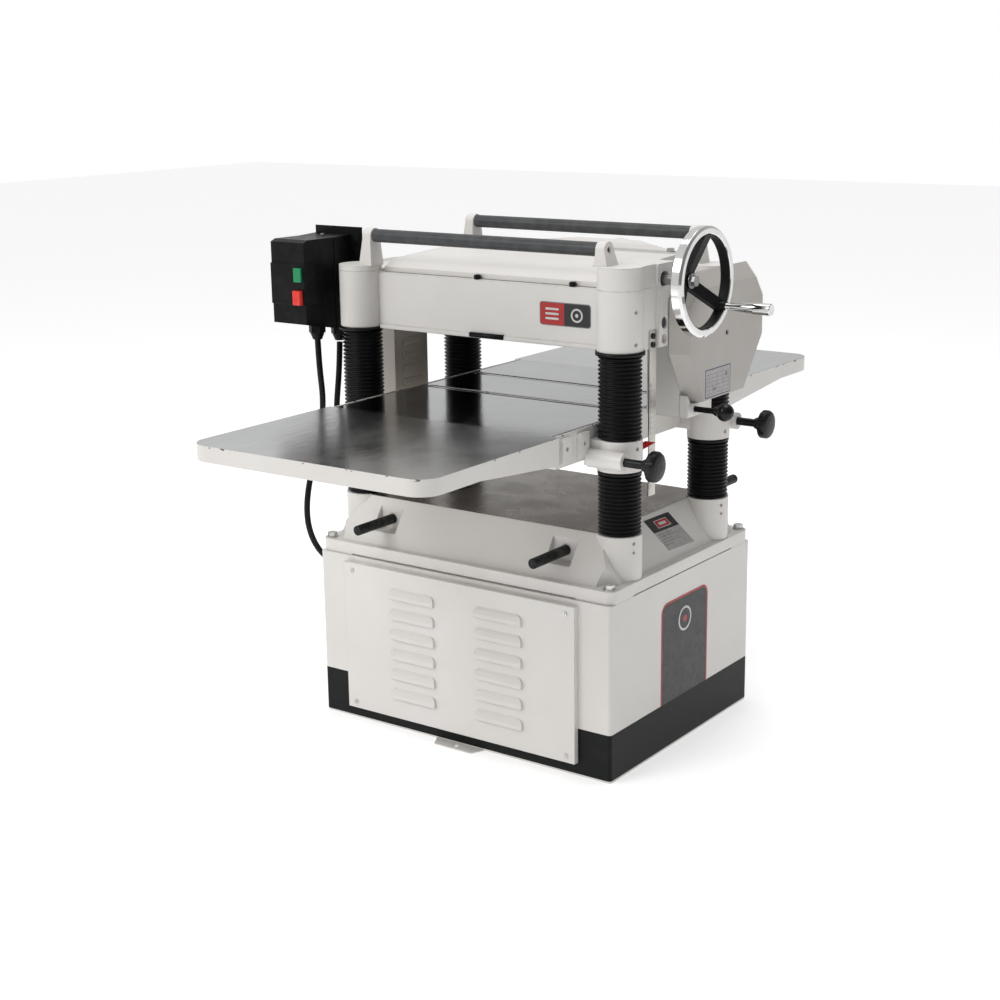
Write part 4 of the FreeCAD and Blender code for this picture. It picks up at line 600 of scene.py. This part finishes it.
def make_decals():
    red = printed("ink_red", (0.43, 0.018, 0.020))
    dark = printed("ink_black", (0.016, 0.017, 0.018), 0.40)
    pale = printed("ink_pale", (0.62, 0.61, 0.59))
    silver = printed("label_silver", (0.42, 0.41, 0.40), 0.30)
    grey = printed("ink_grey", (0.20, 0.20, 0.20))
    violet = printed("ink_violet", (0.055, 0.045, 0.150))
    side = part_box("cabinet")[1].x / MM
    plates("side_panel", [
        (rounded(-87, 95, 96, 302, (0, 0, 22, 22)), 0.25, red),
        (rounded(-82.5, 90.5, 96, 297.5, (0, 0, 18, 18)), 0.40, dark),
        (ring_points(4, 252, 25), 0.50, pale),
        (ring_points(4, 252, 20.5), 0.60, dark),
        (ring_points(4, 252, 7), 0.70, red),
    ], on_right(side))
    beam = -165.0
    plates("front_badge", [
        (rounded(127, 240, 837, 881, (6, 6, 6, 6)), 0.8, grey),
        (rounded(128.5, 182, 838.5, 879.5, (5, 0, 0, 5)), 1.1, red),
        (rounded(182, 238.5, 838.5, 879.5, (0, 5, 5, 0)), 1.1, dark),
        (rounded(140, 170, 848, 852, (2, 2, 2, 2)), 1.4, pale),
        (rounded(140, 170, 857, 861, (2, 2, 2, 2)), 1.4, pale),
        (rounded(140, 170, 866, 870, (2, 2, 2, 2)), 1.4, pale),
        (ring_points(210, 859, 13), 1.4, pale),
        (ring_points(210, 859, 9.5), 1.5, dark),
        (ring_points(210, 859, 3.5), 1.6, pale),
    ], on_front(beam))
    slope = on_slope(Vector((336, 0, 374)), Vector((281, 0, 459)))

    def label(u0, u1, v0, v1):
        """A field of the skewed label; u and v run from 0 to 1 across it and down it."""
        spots = []
        for u, v in ((u0, v1), (u1, v1), (u1, v0), (u0, v0)):
            top = Vector((-50, 92)).lerp(Vector((42, 90)), u)
            foot = Vector((-18, 20)).lerp(Vector((78, 16)), u)
            spots.append(tuple(top.lerp(foot, v)))
        return spots
    rows = [(label(0, 1, 0, 1), 0.3, silver), (label(0, 1, 0, 0.42), 0.4, dark),
            (label(0.27, 0.77, 0.10, 0.34), 0.5, pale), (label(0.29, 0.75, 0.12, 0.32), 0.6, red),
            (label(0.38, 0.66, 0.18, 0.26), 0.7, pale)]
    for v, end in ((0.50, 0.62), (0.57, 0.80), (0.66, 0.45), (0.74, 0.72), (0.83, 0.34)):
        rows.append((label(0.06, end, v, v + 0.018), 0.4, grey))
    plates("base_label", rows, slope)
    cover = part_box("gear_cover")[1].x / MM
    rows = [(rounded(13, 112, 690, 745, (1, 1, 1, 1)), 0.2, violet),
            (rounded(15, 110, 692, 743, (0, 0, 0, 0)), 0.3, silver)]
    for i in range(6):
        rows.append((rounded(20, 105, 697 + 7.4 * i, 697.5 + 7.4 * i, (0, 0, 0, 0)), 0.4, violet))
    for u in (20, 41, 58, 84, 104.5):
        rows.append((rounded(u, u + 0.5, 697, 734, (0, 0, 0, 0)), 0.4, grey))
    rows.append((rounded(44, 54, 702, 708, (0, 0, 0, 0)), 0.4, grey))
    rows.append((ring_points(95, 728, 4.5, 24), 0.4, grey))
    plates("cover_label", rows, on_right(cover))


def make_trim():
    """The clip under the front beam and the two rubber stops on top of it."""
    rubber = dark_rubber("trim_rubber", scale=240)
    for name, u0, u1, z0, z1, y0, y1 in (("beam_clip", -35, 46, 801, 810, -172.5, -165.2),
                                         ("stop_left", -27, -17, 911.2, 920, -164.5, -152),
                                         ("stop_right", 191, 201, 911.2, 920, -164.5, -152)):
        bm = bmesh.new()
        bmesh.ops.create_cube(bm, size=1)
        for vertex in bm.verts:
            vertex.co = Vector((u0 + (vertex.co.x + 0.5) * (u1 - u0), y0 + (vertex.co.y + 0.5) * (y1 - y0),
                                z0 + (vertex.co.z + 0.5) * (z1 - z0))) * MM
        bmesh.ops.bevel(bm, geom=bm.edges[:], offset=1.4 * MM, segments=3, affect="EDGES")
        mesh = bpy.data.meshes.new(name)
        bm.to_mesh(mesh)
        bm.free()
        mesh.shade_smooth()
        piece(name, mesh, rubber)


# ---------------------------------------------------------------- cords
CABLE = 12.5 * MM
MOTOR_CABLE = [(-400, -198, 770), (-400, -197, 735), (-400, -194, 694), (-399, -190, 650), (-399, -194, 604),
               (-400, -207, 559), (-400, -226, 515), (-401, -243, 470), (-402, -251, 424), (-402, -247, 380),
               (-401, -229, 340), (-401, -202, 309), (-400, -172, 290), (-400, -140, 285)]
MAINS_LEAD = [(-400, -130, 755), (-400, -133, 715), (-400, -139, 672), (-399, -148, 628), (-400, -148, 582),
              (-401, -137, 538), (-403, -119, 496), (-405, -101, 452), (-406, -88, 406), (-406, -82, 356),
              (-407, -79, 300), (-408, -80, 244), (-410, -83, 188), (-413, -82, 134), (-418, -70, 86),
              (-424, -46, 46), (-429, -10, 18), (-430, 36, 7), (-428, 86, 6.35), (-421, 138, 6.35),
              (-408, 190, 6.35), (-390, 240, 6.35), (-364, 285, 6.35), (-330, 319, 6.35), (-291, 339, 6.35),
              (-252, 346, 6.35), (-215, 346.5, 6.35)]
PLUG_LEAD = [(-133.5, 428, 18.9), (-132, 459, 18.9), (-125, 487, 19.2), (-110, 511, 19.1), (-87, 528, 18.9),
             (-59, 534, 18.9)]


COIL_TURNS = 3.25


def eased(value, start, end, before, after):
    share = min(1.0, max(0.0, (value - start) / (end - start)))
    return before + (after - before) * share * share * (3 - 2 * share)


def coil_turns():
    """Three and a quarter turns in two layers: outer and inner below, then inner and outer on top."""
    points = []
    per_turn = 18
    count = int(COIL_TURNS * per_turn)
    for i in range(1, count):
        turn = i * COIL_TURNS / count
        angle = math.radians(360 * turn - 90)
        radius = eased(turn, 0.85, 1.0, 81.6, 68.9) + eased(turn, 2.55, 2.70, 0, 12.7)
        height = eased(turn, 1.70, 1.85, 6.35, 18.95)
        points.append((-215 + radius * math.cos(angle), 428 + radius * math.sin(angle), height))
    return points


def cable(name, points, material):
    data = bpy.data.curves.new(name, "CURVE")
    data.dimensions = "3D"
    data.bevel_depth = CABLE / 2
    data.bevel_resolution = 5
    data.resolution_u = 8
    data.use_fill_caps = True
    spline = data.splines.new("NURBS")
    spline.points.add(len(points) - 1)
    for target, point in zip(spline.points, points):
        target.co = (*(Vector(point) * MM), 1)
    spline.order_u = 3
    spline.use_endpoint_u = True
    data.materials.append(material)
    obj = bpy.data.objects.new(name, data)
    bpy.context.collection.objects.link(obj)
    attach(obj, "frame")
    return obj


def make_cords():
    jacket = dark_rubber("cable_jacket", scale=700, rough=0.46, depth=0.00003)
    motor = cable("motor_cord", MOTOR_CABLE, jacket)
    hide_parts("motor_cable")
    lead = cable("mains_cord", MAINS_LEAD + coil_turns() + PLUG_LEAD, jacket)
    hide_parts("mains_lead", "mains_coil")


def make_floor():
    bm = bmesh.new()
    bmesh.ops.create_grid(bm, x_segments=1, y_segments=1, size=14)
    mesh = bpy.data.meshes.new("floor")
    bm.to_mesh(mesh)
    bm.free()
    look = Look("floor")
    tone = look.mix(look.noise(1.2, 2), (0.88, 0.88, 0.88), (0.90, 0.90, 0.90))
    look.shader.inputs["Emission Color"].default_value = (1, 1, 1, 1)
    look.shader.inputs["Emission Strength"].default_value = 0.45
    mesh.materials.append(look.set(color=tone, rough=0.9, specular=0.05))
    floor = bpy.data.objects.new("floor", mesh)
    bpy.context.collection.objects.link(floor)


make_camera()
studio()
make_floor()
make_cords()
dress_nodes()
make_bellows()
make_decals()
make_trim()
